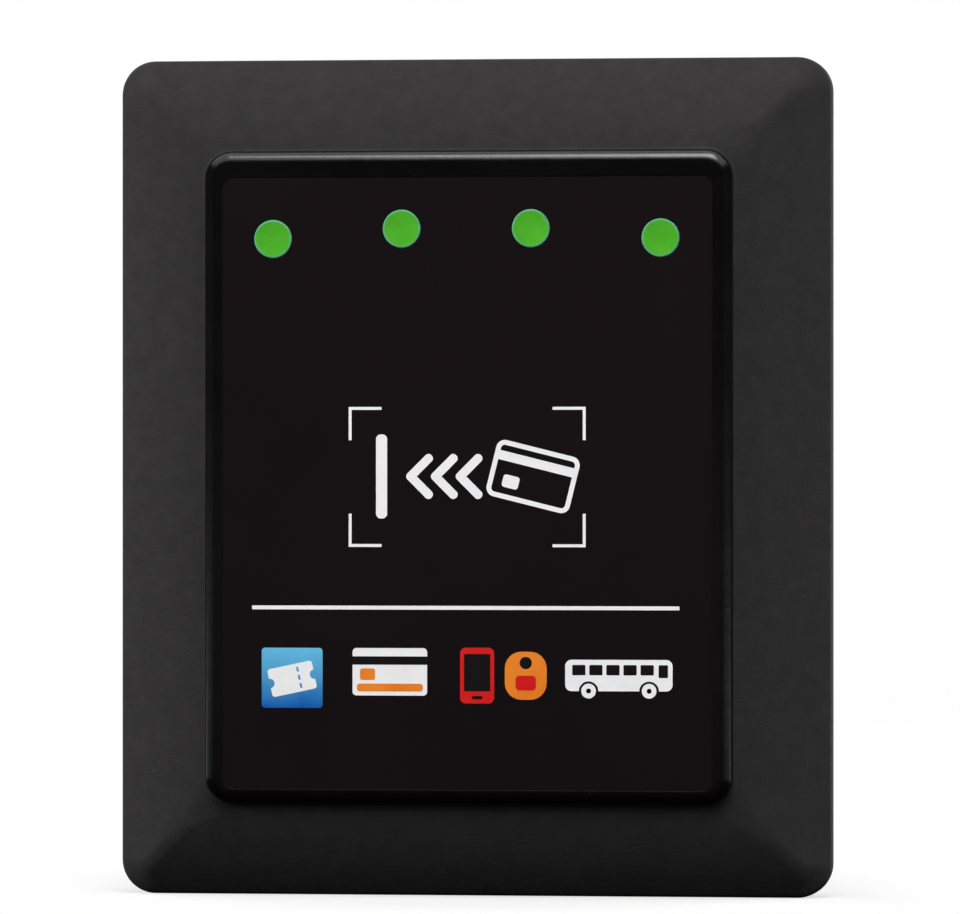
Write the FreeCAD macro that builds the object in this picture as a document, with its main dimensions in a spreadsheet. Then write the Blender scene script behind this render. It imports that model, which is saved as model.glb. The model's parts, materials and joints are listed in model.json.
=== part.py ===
import FreeCAD, Part
import math
import os
import re

import Sketcher

# Contactless ticket validator head for flush mounting in a panel.
# Frame: X to the right, Z up, +Y into the panel. The origin is the centre of
# the panel's front face, which the gasket seals against. A "level" is a
# distance out of that face towards the passenger, so level = -Y.

SIZES = {
    # Bezel: a moulding with a convex slope up to a raised plateau
    "bezel_width": 73.6,
    "bezel_height": 86,
    "bezel_corner": 3.5,
    "edge_height": 2.7,
    "edge_round": 0.9,
    "hip_round": 3.5,
    "crown_radius": 22,
    "crown_outer": 40,
    "crown_inner": 12,
    "plateau_rise": 1.75,
    "plateau_corner": 2.8,
    "plateau_round": 1.2,
    "face_wall": 2.2,
    "cavity_corner": 2,
    # Front label and the tape that holds it
    "rim_side": 2.03,
    "rim_end": 2.18,
    "overlay_corner": 1.1,
    "overlay_drop": 0.6,
    "overlay_thickness": 0.25,
    "overlay_gap": 0.1,
    "tape_thickness": 0.1,
    "tape_inset": 0.4,
    "tape_window": 5.4,
    # Four status lights in a shallow arc
    "light_radius": 1.95,
    "light_gap": 0.05,
    "light_edge": 5.25,
    "light_dip": 1,
    "light_collar": 2.6,
    "light_collar_depth": 0.8,
    "light_stem": 1.5,
    "light_led_gap": 0.2,
    "shield_margin": 3.6,
    "shield_corner": 1.5,
    "shield_depth": 3.2,
    "shield_gap": 0.1,
    "led_length": 2,
    "led_width": 1.25,
    "led_base": 0.3,
    "led_height": 0.8,
    # Antenna board behind the face
    "antenna_margin": 0.6,
    "antenna_thickness": 1,
    "board_corner": 1.5,
    "coil_margin": 0.6,
    "coil_turns": 5,
    "coil_pitch": 1.3,
    "coil_track": 0.7,
    "coil_copper": 0.1,
    "coil_drop": 4,
    "ferrite_margin": 5,
    "ferrite_thickness": 0.3,
    "antenna_post": 2.9,
    "antenna_post_gap": 0.15,
    "antenna_post_rise": 30,
    "antenna_screw_core": 0.85,
    "antenna_screw_head": 1.5,
    "antenna_screw_head_height": 1,
    "antenna_screw_grip": 2.9,
    # Main board in the rear housing
    "main_margin": 0.9,
    "main_thickness": 1.6,
    "main_hole_inset": 3,
    "main_screw_core": 1.1,
    "main_screw_head": 2.2,
    "main_screw_head_height": 1.6,
    "main_screw_grip": 3.4,
    "screw_hole_gap": 0.2,
    # Rear housing: a drafted tub with a flange that sits inside the bezel
    "tub_margin": 11.6,
    "tub_corner": 4,
    "tub_depth": 15,
    "tub_wall": 1.8,
    "tub_floor": 2,
    "tub_draft": 1,
    "tub_round": 1.5,
    "standoff_radius": 2.7,
    "standoff_height": 4.6,
    "standoff_rib": 1.2,
    "flange_margin": 5.8,
    "flange_corner": 5.8,
    "flange_thickness": 2,
    "flange_gap": 0.2,
    # Seal ring and screws of the flange
    "seal_width": 1,
    "seal_depth": 0.7,
    "seal_inset": 0.4,
    "seal_gap": 0.9,
    "case_screw_rise": 44,
    "case_screw_core": 1.2,
    "case_screw_head": 2.2,
    "case_screw_grip": 3.4,
    # Coring pockets that keep the bezel's land from sinking
    "core_length": 7,
    "core_width": 2.8,
    "core_depth": 2.5,
    "core_pitch": 9,
    "core_edge": 1,
    # Panel fixings
    "gasket_thickness": 1.5,
    "gasket_inset": 0.8,
    "gasket_opening_gap": 0.6,
    "gasket_hole": 2.7,
    "stud_inset_x": 4.8,
    "stud_inset_z": 5,
    "stud_radius": 1.5,
    "stud_plain": 1,
    "stud_length": 12,
    "stud_tip": 0.4,
    "thread_radius": 1.3375,
    "stud_head_radius": 2.1,
    "stud_head_height": 3.8,
    "panel_thickness": 2.1,
    "nut_flats": 5.5,
    "nut_height": 2.4,
    "nut_chamfer": 0.35,
    "nut_gap": 0.05,
    "nut_collar_radius": 2,
    "washer_gap": 0.08,
    "washer_radius": 3.5,
    "washer_thickness": 0.5,
    "washer_tooth": 0.7,
    "washer_teeth": 10,
    # Host connector through the rear wall
    "connector_edge": 7.25,
    "connector_width": 24.9,
    "connector_depth": 8.9,
    "connector_height": 9.1,
    "connector_wall": 1.1,
    "connector_base": 2.6,
    "connector_key": 4.5,
    "pin_pitch": 2.54,
    "pin_columns": 7,
    "pin_size": 0.64,
    "pin_length": 10.4,
    "grommet_wall": 1.2,
    "grommet_lip": 1,
    # Electronics
    "part_edge": 2.3,
    "part_gap": 0.5,
    "link_width": 11,
    "link_depth": 4.2,
    "link_plug_height": 2.5,
    "link_edge": 3.2,
    "can_size": 22,
    "can_height": 3.2,
    "can_wall": 0.4,
    "can_slot": 1,
    "can_slot_length": 12,
    "can_slot_pitch": 3.5,
    "reader_chip_size": 6,
    "reader_chip_height": 0.9,
    "crystal_length": 3.2,
    "crystal_width": 2.5,
    "crystal_height": 0.8,
    "controller_size": 10,
    "controller_height": 1.4,
    "lead_pitch": 1.27,
    "lead_count": 7,
    "lead_width": 0.4,
    "lead_length": 1,
    "lead_height": 0.6,
    "buzzer_radius": 6,
    "buzzer_height": 6.5,
    "buzzer_port": 1.2,
    "capacitor_radius": 3.15,
    "capacitor_height": 5.6,
    "capacitor_base": 0.8,
    "capacitor_pitch": 8,
    "inductor_size": 6,
    "inductor_height": 3,
    "sam_width": 29,
    "sam_height": 19,
    "sam_depth": 2.6,
    "sam_edge": 9.2,
    "sam_card_width": 25,
    "sam_card_height": 15,
    "sam_card_thickness": 0.76,
    "sam_card_notch": 3,
    "sam_floor": 0.8,
    "sam_gap": 0.2,
    "sam_latch": 2,
}

# Sizes and places that follow from the ones above
FITTED = {
    "crown_inset": "crown_radius * (sin(crown_outer * 1deg) - sin(crown_inner * 1deg))",
    "plateau_width": "bezel_width - 2 * crown_inset",
    "plateau_height": "bezel_height - 2 * crown_inset",
    "overlay_width": "plateau_width - 2 * rim_side",
    "overlay_height": "plateau_height - 2 * rim_end",
    "light_pitch": "(overlay_width - 2 * light_edge) / 3",
    "inner_light_x": "light_pitch / 2",
    "outer_light_x": "light_pitch * 3 / 2",
    "inner_light_z": "overlay_height / 2 - overlay_drop - light_edge",
    "outer_light_z": "inner_light_z - light_dip",
    "shield_width": "3 * light_pitch + 2 * shield_margin",
    "shield_height": "light_dip + 2 * shield_margin",
    "tub_width": "bezel_width - 2 * tub_margin",
    "tub_height": "bezel_height - 2 * tub_margin",
    "flange_width": "bezel_width - 2 * flange_margin",
    "flange_height": "bezel_height - 2 * flange_margin",
    "case_screw_x": "(tub_width + flange_width) / 2",
    "end_screw_z": "(tub_height + flange_height) / 2",
    "seal_reach": "case_screw_core + seal_gap + seal_width + seal_inset",
    "cavity_width": "case_screw_x - 2 * seal_reach",
    "cavity_height": "end_screw_z - 2 * seal_reach",
    "stud_spacing_x": "bezel_width - 2 * stud_inset_x",
    "stud_spacing_z": "bezel_height - 2 * stud_inset_z",
    "antenna_width": "cavity_width - 2 * antenna_margin",
    "antenna_height": "cavity_height - 2 * antenna_margin",
    "ferrite_size": "antenna_width - 2 * ferrite_margin",
    "coil_size": "ferrite_size - 2 * coil_margin",
    "antenna_post_x": "(coil_size + coil_track) / 2 + antenna_post_gap + antenna_post",
    "main_width": "tub_width - 2 * (tub_wall + main_margin)",
    "main_height": "tub_height - 2 * (tub_wall + main_margin)",
    "main_hole_x": "main_width - 2 * main_hole_inset",
    "main_hole_z": "main_height - 2 * main_hole_inset",
    "screw_side_x": "main_hole_x / 2 - main_screw_head - part_gap",
    "screw_side_z": "main_hole_z / 2 - main_screw_head - part_gap",
    "link_x": "screw_side_x - link_width / 2",
    "link_z": "main_height / 2 - link_edge - link_depth / 2",
    "can_x": "main_width / 2 - part_edge - can_size / 2",
    "can_z": "link_z - link_depth / 2 - part_gap - can_size / 2",
    "buzzer_x": "main_width / 2 - part_edge - buzzer_radius",
    "buzzer_z": "can_z - can_size / 2 - part_gap - buzzer_radius",
    "capacitor_x": "part_edge + capacitor_radius - main_width / 2",
    "capacitor_z": "screw_side_z - capacitor_radius - capacitor_pitch",
    "inductor_x": "part_edge + inductor_size / 2 - main_width / 2",
    "inductor_z": "capacitor_z - capacitor_radius - part_gap - inductor_size / 2",
    "controller_span": "controller_size + 2 * lead_length",
    "controller_x": "part_edge + controller_span / 2 - main_width / 2",
    "controller_z": "inductor_z - inductor_size / 2 - part_gap - controller_span / 2",
    "sam_z": "main_height / 2 - sam_edge - sam_height / 2",
    "connector_drop": "main_height / 2 - connector_edge - connector_depth / 2",
}

doc = FreeCAD.newDocument("TicketValidator")
sheet = doc.addObject("Spreadsheet::Sheet", "Dim")
KNOWN = {**SIZES, **{name: f"={formula}" for name, formula in FITTED.items()}}
for row, (alias, content) in enumerate(KNOWN.items(), start=1):
    sheet.set(f"A{row}", alias)
    sheet.set(f"B{row}", str(content))
    sheet.setAlias(f"B{row}", alias)
doc.recompute()

nodes = []


def linked(expression):
    """Turn each size's name into a reference to its cell in the sheet."""
    return re.sub(r"\b[a-z_]+\b", lambda m: f"Dim.{m[0]}" if m[0] in KNOWN else m[0], expression)


def value(expression):
    return float(sheet.evalExpression(linked(expression)))


# ---- Levels shared by the pieces, as expressions of the sizes ----

rim_level = "gasket_thickness"
land_level = "(gasket_thickness + flange_thickness)"
crown_level = "(gasket_thickness + edge_height)"


foot_level = (f"({crown_level} + crown_radius * "
              "(cos(crown_inner * 1deg) - cos(crown_outer * 1deg)))")
face_level = f"({foot_level} + plateau_rise)"
seat_level = f"({face_level} - overlay_thickness - tape_thickness)"
wall_level = f"({face_level} - face_wall)"
antenna_front = f"({wall_level} - shield_depth)"
antenna_back = f"({antenna_front} - antenna_thickness)"
floor_level = f"({rim_level} - tub_depth + tub_floor)"
main_back = f"({floor_level} + standoff_height)"
main_front = f"({main_back} + main_thickness)"
nut_face = "(-panel_thickness - washer_thickness)"


# ---- Sketches ----

def origin_part(body, role):
    return next(item for item in body.Origin.OriginFeatures if item.Role == role)


def sketch_on(body, name, level):
    """A sketch parallel to the panel at a level, its normal pointing outwards."""
    sketch = body.newObject("Sketcher::SketchObject", name)
    sketch.AttachmentSupport = [(origin_part(body, "XZ_Plane"), "")]
    sketch.MapMode = "FlatFace"
    sketch.setExpression("AttachmentOffset.Base.z", linked(level))
    return sketch


def dimension(sketch, constraint, expression):
    index = sketch.addConstraint(constraint)
    sketch.setExpression(f"Constraints[{index}]", linked(expression))


def fix_point(sketch, geometry, point, x, z):
    """Place a point of a sketch; "0" keeps it on the axis through the origin."""
    if x == "0":
        sketch.addConstraint(Sketcher.Constraint("PointOnObject", geometry, point, -2))
    else:
        across = Sketcher.Constraint("DistanceX", -1, 1, geometry, point, value(x))
        dimension(sketch, across, x)
    if z == "0":
        sketch.addConstraint(Sketcher.Constraint("PointOnObject", geometry, point, -1))
    else:
        up = Sketcher.Constraint("DistanceY", -1, 1, geometry, point, value(z))
        dimension(sketch, up, z)


def circle(radius, x="0", z="0"):
    def draw(sketch):
        centre = FreeCAD.Vector(value(x), value(z), 0)
        ring = Part.Circle(centre, FreeCAD.Vector(0, 0, 1), value(radius))
        index = sketch.addGeometry(ring, False)
        fix_point(sketch, index, 3, x, z)
        dimension(sketch, Sketcher.Constraint("Radius", index, value(radius)), radius)
    return draw


def polygon(*points):
    """A closed outline through points given as pairs of expressions."""
    def draw(sketch):
        places = [FreeCAD.Vector(value(x), value(z), 0) for x, z in points]
        ends = places[1:] + places[:1]
        sides = [sketch.addGeometry(Part.LineSegment(*pair), False) for pair in zip(places, ends)]
        for side, following in zip(sides, sides[1:] + sides[:1]):
            sketch.addConstraint(Sketcher.Constraint("Coincident", side, 2, following, 1))
        for side, (x, z) in zip(sides, points):
            fix_point(sketch, side, 1, x, z)
    return draw


def bulged(radius, centre, *points):
    """A closed outline whose last side is an arc about a centre."""
    def draw(sketch):
        places = [FreeCAD.Vector(value(x), value(z), 0) for x, z in points]
        pairs = zip(places, places[1:])
        sides = [sketch.addGeometry(Part.LineSegment(*pair), False) for pair in pairs]
        middle = FreeCAD.Vector(*[value(part) for part in centre], 0)
        spokes = [place - middle for place in (places[-1], places[0])]
        first, last = [math.atan2(spoke.y, spoke.x) for spoke in spokes]
        turns_left = (last - first) % (2 * math.pi) < math.pi
        sweep = (first, last) if turns_left else (last, first)
        start, end = (1, 2) if turns_left else (2, 1)
        ring = Part.Circle(middle, FreeCAD.Vector(0, 0, 1), value(radius))
        arc = sketch.addGeometry(Part.ArcOfCircle(ring, *sweep), False)
        for side, following in zip(sides, sides[1:]):
            sketch.addConstraint(Sketcher.Constraint("Coincident", side, 2, following, 1))
        sketch.addConstraint(Sketcher.Constraint("Coincident", sides[-1], 2, arc, start))
        sketch.addConstraint(Sketcher.Constraint("Coincident", arc, end, sides[0], 1))
        for side, (x, z) in zip(sides, points):
            fix_point(sketch, side, 1, x, z)
        fix_point(sketch, sides[-1], 2, *points[-1])
        dimension(sketch, Sketcher.Constraint("Radius", arc, value(radius)), radius)
    return draw


def box(width, height, x="0", z="0"):
    left, right = f"{x} - ({width}) / 2", f"{x} + ({width}) / 2"
    low, high = f"{z} - ({height}) / 2", f"{z} + ({height}) / 2"
    return polygon((left, low), (right, low), (right, high), (left, high))


def rounded(width, height, corner, x="0", z="0"):
    """A rectangle with round corners, centred on a point."""
    def draw(sketch):
        half_w, half_h, radius = value(width) / 2, value(height) / 2, value(corner)
        middle = FreeCAD.Vector(value(x), value(z), 0)
        in_w, in_h = half_w - radius, half_h - radius
        corners = [(in_w, -in_h), (in_w, in_h), (-in_w, in_h), (-in_w, -in_h)]
        lines = [((-in_w, -half_h), (in_w, -half_h)), ((half_w, -in_h), (half_w, in_h)),
                 ((in_w, half_h), (-in_w, half_h)), ((-half_w, in_h), (-half_w, -in_h))]
        chain = []
        for turn, (line, arc) in enumerate(zip(lines, corners)):
            start, end = [middle + FreeCAD.Vector(*point, 0) for point in line]
            chain.append(sketch.addGeometry(Part.LineSegment(start, end), False))
            round_off = Part.Circle(middle + FreeCAD.Vector(*arc, 0), FreeCAD.Vector(0, 0, 1), radius)
            sweep = [math.radians(90 * turn - 90), math.radians(90 * turn)]
            chain.append(sketch.addGeometry(Part.ArcOfCircle(round_off, *sweep), False))
        for piece, following in zip(chain, chain[1:] + chain[:1]):
            sketch.addConstraint(Sketcher.Constraint("Tangent", piece, 2, following, 1))
        bottom, first_arc, right, _, top, _, left, _ = chain
        for line in (bottom, top):
            sketch.addConstraint(Sketcher.Constraint("Horizontal", line))
        for line in (right, left):
            sketch.addConstraint(Sketcher.Constraint("Vertical", line))
        for arc in chain[3::2]:
            sketch.addConstraint(Sketcher.Constraint("Equal", first_arc, arc))
        if (x, z) == ("0", "0"):
            centre = (-1, 1)
        else:
            centre = (sketch.addGeometry(Part.Point(middle), True), 1)
            fix_point(sketch, *centre, x, z)
        sketch.addConstraint(Sketcher.Constraint("Symmetric", left, 1, right, 1, *centre))
        dimension(sketch, Sketcher.Constraint("DistanceX", left, 1, right, 1, 2 * half_w), width)
        dimension(sketch, Sketcher.Constraint("DistanceY", bottom, 1, top, 1, 2 * half_h), height)
        dimension(sketch, Sketcher.Constraint("Radius", first_arc, radius), corner)
    return draw


def hexagon(flats):
    """A regular hexagon with two flats level."""
    def draw(sketch):
        reach = f"({flats}) / sqrt(3)"
        turns = [math.radians(60 * step) for step in range(6)]
        places = [FreeCAD.Vector(math.cos(a), math.sin(a), 0) * value(reach) for a in turns]
        pairs = zip(places, places[1:] + places[:1])
        sides = [sketch.addGeometry(Part.LineSegment(*pair), False) for pair in pairs]
        guide = Part.Circle(FreeCAD.Vector(), FreeCAD.Vector(0, 0, 1), value(reach))
        ring = sketch.addGeometry(guide, True)
        for side, following in zip(sides, sides[1:] + sides[:1]):
            sketch.addConstraint(Sketcher.Constraint("Coincident", side, 2, following, 1))
            sketch.addConstraint(Sketcher.Constraint("PointOnObject", side, 2, ring))
        for side in sides[1:]:
            sketch.addConstraint(Sketcher.Constraint("Equal", sides[0], side))
        sketch.addConstraint(Sketcher.Constraint("Coincident", ring, 3, -1, 1))
        sketch.addConstraint(Sketcher.Constraint("Horizontal", sides[1]))
        dimension(sketch, Sketcher.Constraint("Radius", ring, value(reach)), reach)
    return draw


def four_corners(shape, spacing_x, spacing_z, *sizes):
    """The same outline at the corners of a rectangle."""
    signs = [(-1, -1), (1, -1), (1, 1), (-1, 1)]
    return [shape(*sizes, f"{sx} * ({spacing_x}) / 2", f"{sz} * ({spacing_z}) / 2")
            for sx, sz in signs]


# ---- Features ----

def new_body(label):
    body = doc.addObject("PartDesign::Body", label)
    body.Label = label
    nodes.append(body)
    return body


def place(body, x="0", level="0", z="0"):
    """Put a body drawn about its own origin at its place in the assembly."""
    for axis, expression in (("x", x), ("y", f"-({level})"), ("z", z)):
        body.setExpression(f"Placement.Base.{axis}", linked(expression))
    doc.recompute()


def drawn(body, name, level, outlines):
    sketch = sketch_on(body, name + "Sketch", level)
    for outline in outlines:
        outline(sketch)
    return sketch


def pad(body, name, low, high, *outlines):
    """Add material between two levels."""
    feature = body.newObject("PartDesign::Pad", name)
    feature.Profile = drawn(body, name, low, outlines)
    feature.setExpression("Length", linked(f"({high}) - ({low})"))
    body.Tip = feature
    doc.recompute()
    return feature


def cut(body, name, low, high, *outlines):
    """Remove material between two levels, and make sure that some went."""
    before = body.Shape.Volume
    feature = body.newObject("PartDesign::Pocket", name)
    feature.Profile = drawn(body, name, high, outlines)
    feature.setExpression("Length", linked(f"({high}) - ({low})"))
    body.Tip = feature
    doc.recompute()
    if body.Shape.Volume > before - 1e-6:
        raise RuntimeError(f"{body.Label}: {name} removes nothing")
    return feature


def turned(body, name, *points, x="0", z="0", kind="Revolution"):
    """Revolve, or groove, an outline of (radius, level) pairs about an axis along Y."""
    sketch = body.newObject("Sketcher::SketchObject", name + "Sketch")
    sketch.AttachmentSupport = [(origin_part(body, "XY_Plane"), "")]
    sketch.MapMode = "FlatFace"
    sketch.setExpression("AttachmentOffset.Base.x", linked(x))
    sketch.setExpression("AttachmentOffset.Base.z", linked(z))
    polygon(*[(radius, level if level == "0" else f"-({level})") for radius, level in points])(sketch)
    feature = body.newObject(f"PartDesign::{kind}", name)
    feature.Profile = sketch
    feature.ReferenceAxis = (sketch, ["V_Axis"])
    body.Tip = feature
    doc.recompute()
    return feature


def dress(body, kind, name, size, keep):
    """Fillet or chamfer the edges of the body that keep() picks."""
    base = body.Tip
    edges = [f"Edge{i}" for i, edge in enumerate(base.Shape.Edges, start=1) if keep(edge)]
    feature = body.newObject(f"PartDesign::{kind}", name)
    feature.Base = (base, edges)
    feature.setExpression("Radius" if kind == "Fillet" else "Size", linked(size))
    body.Tip = feature
    doc.recompute()
    return feature


def at_level(level, reach_x="0"):
    """Pick the edges that lie flat at a level, at least reach_x wide as a ring."""
    height, least = -value(level), value(reach_x)

    def keep(edge):
        bounds = edge.BoundBox
        flat = abs(bounds.YMin - height) < 1e-4 and abs(bounds.YMax - height) < 1e-4
        return flat and max(abs(bounds.XMin), abs(bounds.XMax)) >= least - 1e-4
    return keep


def starts_at(level):
    """Pick the short or flat edges whose lowest point is at a level."""
    height = -value(level)

    def keep(edge):
        bounds = edge.BoundBox
        return abs(bounds.YMax - height) < 1e-3 and bounds.YLength < 1
    return keep


def is_hip(edge):
    """Pick the slanting edges where two slopes meet."""
    bounds = edge.BoundBox
    return min(bounds.XLength, bounds.YLength, bounds.ZLength) > 1


def along_y(edge):
    bounds = edge.BoundBox
    return bounds.XLength < 1e-4 and bounds.ZLength < 1e-4


def grid(body, feature, x_length, z_length, x_count=2, z_count=2):
    """Repeat a feature across a rectangular grid."""
    pattern = body.newObject("PartDesign::MultiTransform", feature.Name + "Grid")
    steps = []
    for axis, length, count in (("X_Axis", x_length, x_count), ("Z_Axis", z_length, z_count)):
        step = body.newObject("PartDesign::LinearPattern", f"{feature.Name}{axis}")
        step.Direction = (origin_part(body, axis), [""])
        step.setExpression("Length", linked(length))
        step.Occurrences = count
        steps.append(step)
    pattern.Originals = [feature]
    pattern.Transformations = steps
    body.Tip = pattern
    doc.recompute()
    return pattern


light_middle = "((inner_light_z + outer_light_z) / 2)"
light_places = [
    ("-outer_light_x", "outer_light_z"),
    ("-inner_light_x", "inner_light_z"),
    ("inner_light_x", "inner_light_z"),
    ("outer_light_x", "outer_light_z"),
]


def light_holes(radius, lift="0"):
    return [circle(radius, x, f"{z} + {lift}") for x, z in light_places]


def antenna_posts(radius):
    """Four posts beside the coil, set about the coil's own centre line."""
    return [circle(radius, f"{sx} * antenna_post_x", f"{sz} * antenna_post_rise / 2 - coil_drop")
            for sx in (-1, 1) for sz in (-1, 1)]


def end_pair(shape, spacing, *sizes):
    return [shape(*sizes, "0", f"{side} * ({spacing}) / 2") for side in (-1, 1)]


def drafted(body, kind, name, level, depth, outline):
    """Pad or pocket from a level into the panel, narrowing by the mould's draft."""
    feature = body.newObject(f"PartDesign::{kind}", name)
    feature.Profile = drawn(body, name, level, [outline])
    feature.setExpression("Length", linked(depth))
    feature.setExpression("TaperAngle", linked("-tub_draft"))
    feature.Reversed = kind == "Pad"
    body.Tip = feature
    doc.recompute()
    return feature


# ---- Front bezel ----

core_x = "(flange_width / 2 + flange_gap - core_edge - core_width / 2)"
core_z = "(flange_height / 2 + flange_gap - core_edge - core_width / 2)"
seal_inner = ["cavity_width + 2 * seal_inset", "cavity_height + 2 * seal_inset",
              "cavity_corner + seal_inset"]
seal_outer = [f"{size} + {times} * seal_width" for size, times in zip(seal_inner, (2, 2, 1))]
seal_ring = [rounded(*seal_outer), rounded(*seal_inner)]


def slope_cut(body, name, plane, half, mirror, swap):
    """Cut a convex slope along one side, and mirror it to the opposite side."""
    above = f"({foot_level} + edge_height)"
    beside = f"({half} + edge_height)"
    foot = f"({half} - crown_inset)"
    centre = (f"{half} - crown_radius * sin(crown_outer * 1deg)",
              f"{crown_level} - crown_radius * cos(crown_outer * 1deg)")
    corners = [(half, crown_level), (beside, crown_level), (beside, above), (foot, above),
               (foot, foot_level)]
    if swap:
        centre, *corners = [(f"-({level})", across) for across, level in [centre, *corners]]
    else:
        centre, *corners = [(across, f"-({level})") for across, level in [centre, *corners]]
    sketch = body.newObject("Sketcher::SketchObject", name + "Sketch")
    sketch.AttachmentSupport = [(origin_part(body, plane), "")]
    sketch.MapMode = "FlatFace"
    bulged("crown_radius", centre, *corners)(sketch)
    before = body.Shape.Volume
    pocket = body.newObject("PartDesign::Pocket", name)
    pocket.Profile = sketch
    pocket.SideType = "Symmetric"
    pocket.setExpression("Length", linked("2 * (bezel_width + bezel_height)"))
    body.Tip = pocket
    doc.recompute()
    opposite = body.newObject("PartDesign::Mirrored", name + "Opposite")
    opposite.Originals = [pocket]
    opposite.MirrorPlane = (origin_part(body, mirror), [""])
    body.Tip = opposite
    doc.recompute()
    if body.Shape.Volume > before - 1:
        raise RuntimeError(f"{body.Label}: {name} removes nothing")


def case_screws(radius):
    sides = four_corners(circle, "case_screw_x", "case_screw_rise", radius)
    return sides + end_pair(circle, "end_screw_z", radius)


def make_front_bezel():
    body = new_body("front_bezel")
    pad(body, "Block", rim_level, foot_level,
        rounded("bezel_width", "bezel_height", "bezel_corner"))
    slope_cut(body, "SideSlope", "XY_Plane", "bezel_width / 2", "YZ_Plane", swap=False)
    slope_cut(body, "EndSlope", "YZ_Plane", "bezel_height / 2", "XY_Plane", swap=True)
    dress(body, "Fillet", "Hips", "hip_round", is_hip)
    dress(body, "Fillet", "EdgeRound", "edge_round", starts_at(crown_level))
    pad(body, "Plateau", foot_level, face_level,
        rounded("plateau_width", "plateau_height", "plateau_corner"))
    dress(body, "Fillet", "PlateauRound", "plateau_round", at_level(face_level))

    # The recess for the label, and the windows for the light pipes
    cut(body, "LabelRecess", seat_level, face_level,
        rounded("overlay_width + 2 * overlay_gap", "overlay_height + 2 * overlay_gap",
                "overlay_corner + overlay_gap", "0", "-overlay_drop"))
    cut(body, "Cavity", rim_level, wall_level,
        rounded("cavity_width", "cavity_height", "cavity_corner"))
    cut(body, "Windows", wall_level, seat_level, *light_holes("light_radius + light_gap"))

    # The rebate for the housing's flange, its seal groove and its screws
    cut(body, "Rebate", rim_level, land_level,
        rounded("flange_width + 2 * flange_gap", "flange_height + 2 * flange_gap",
                "flange_corner + flange_gap"))
    cut(body, "SealGroove", land_level, f"{land_level} + seal_depth", *seal_ring)
    cut(body, "CasePilots", land_level, f"{land_level} + case_screw_grip",
        *case_screws("case_screw_core"))

    # Coring keeps the walls even between the screws
    side = cut(body, "SideCore", land_level, f"{land_level} + core_depth",
               box("core_width", "core_length", f"-{core_x}", "-1.5 * core_pitch"))
    grid(body, side, f"2 * {core_x}", "3 * core_pitch", 2, 4)
    end = cut(body, "EndCore", land_level, f"{land_level} + core_depth",
              box("core_length", "core_width", "-2 * core_pitch", f"-{core_z}"),
              box("core_length", "core_width", "core_pitch", f"-{core_z}"))
    grid(body, end, "core_pitch", f"2 * {core_z}")

    pad(body, "AntennaPosts", antenna_front, wall_level, *antenna_posts("antenna_post"))
    cut(body, "AntennaPilots", antenna_front, f"{antenna_front} + antenna_screw_grip",
        *antenna_posts("antenna_screw_core"))
    cut(body, "StudSockets", rim_level, f"{rim_level} + stud_head_height",
        *four_corners(circle, "stud_spacing_x", "stud_spacing_z", "stud_head_radius"))


# ---- Label, light pipes and their shield ----

def make_label():
    overlay = new_body("graphic_overlay")
    pad(overlay, "Film", "0", "overlay_thickness",
        rounded("overlay_width", "overlay_height", "overlay_corner"),
        *light_holes("light_radius + light_gap", "overlay_drop"))
    place(overlay, level=f"{face_level} - overlay_thickness", z="-overlay_drop")

    tape = new_body("overlay_tape")
    pad(tape, "Tape", "0", "tape_thickness",
        rounded("overlay_width - 2 * tape_inset", "overlay_height - 2 * tape_inset",
                "overlay_corner"),
        box("2 * outer_light_x + tape_window", "tape_window", "0",
            f"{light_middle} + overlay_drop"))
    place(tape, level=seat_level, z="-overlay_drop")


def make_light(number, x, z):
    """A stepped pipe whose collar sits behind the face, and the light under it."""
    pipe = new_body(f"light_pipe_{number}")
    stem_end = "(led_height + light_led_gap - shield_depth)"
    turned(pipe, "Pipe",
           ("0", stem_end), ("light_stem", stem_end),
           ("light_stem", "-light_collar_depth"), ("light_collar", "-light_collar_depth"),
           ("light_collar", "0"), ("light_radius", "0"),
           ("light_radius", "face_wall"), ("0", "face_wall"))
    place(pipe, x, wall_level, z)

    led = new_body(f"led_{number}")
    pad(led, "Base", "0", "led_base", box("led_length", "led_width"))
    pad(led, "Lens", "led_base", "led_height", box("led_width", "led_width"))
    dress(led, "Chamfer", "LensEdge", "led_base / 2", at_level("led_height"))
    place(led, x, antenna_front, z)


def make_light_shield():
    body = new_body("light_shield")
    pad(body, "Bar", "0", "shield_depth",
        rounded("shield_width", "shield_height", "shield_corner"))
    lift = f"-{light_middle}"
    cut(body, "Chimneys", "0", "shield_depth",
        *light_holes("light_stem + shield_gap", lift))
    cut(body, "CollarSeats", "shield_depth - light_collar_depth - shield_gap", "shield_depth",
        *light_holes("light_collar + shield_gap", lift))
    place(body, level=antenna_front, z=light_middle)


# ---- Antenna board ----

def make_antenna_board():
    body = new_body("antenna_board")
    pad(body, "Board", "0", "antenna_thickness",
        rounded("antenna_width", "antenna_height", "board_corner"),
        *antenna_posts("antenna_screw_core + screw_hole_gap"))
    place(body, level=antenna_back)


def coil_half(turn):
    return f"(coil_size / 2 - {turn} * coil_pitch)"


def coil_edge(side):
    """One edge of the square spiral track, side being -1 inside and 1 outside."""
    shift = f"{side} * coil_track / 2"
    first = coil_half(0)
    points = [(f"-{first}", f"-({first} + {shift})")]
    for turn in range(SIZES["coil_turns"]):
        reach = f"({coil_half(turn)} + {shift})"
        below = f"({coil_half(turn + 1)} + {shift})"
        points += [(reach, f"-{reach}"), (reach, reach), (f"-{reach}", reach)]
        points.append((f"-{reach}", f"-{below}"))
    points[-1] = (points[-1][0], f"-{coil_half(SIZES['coil_turns'])}")
    return points


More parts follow.
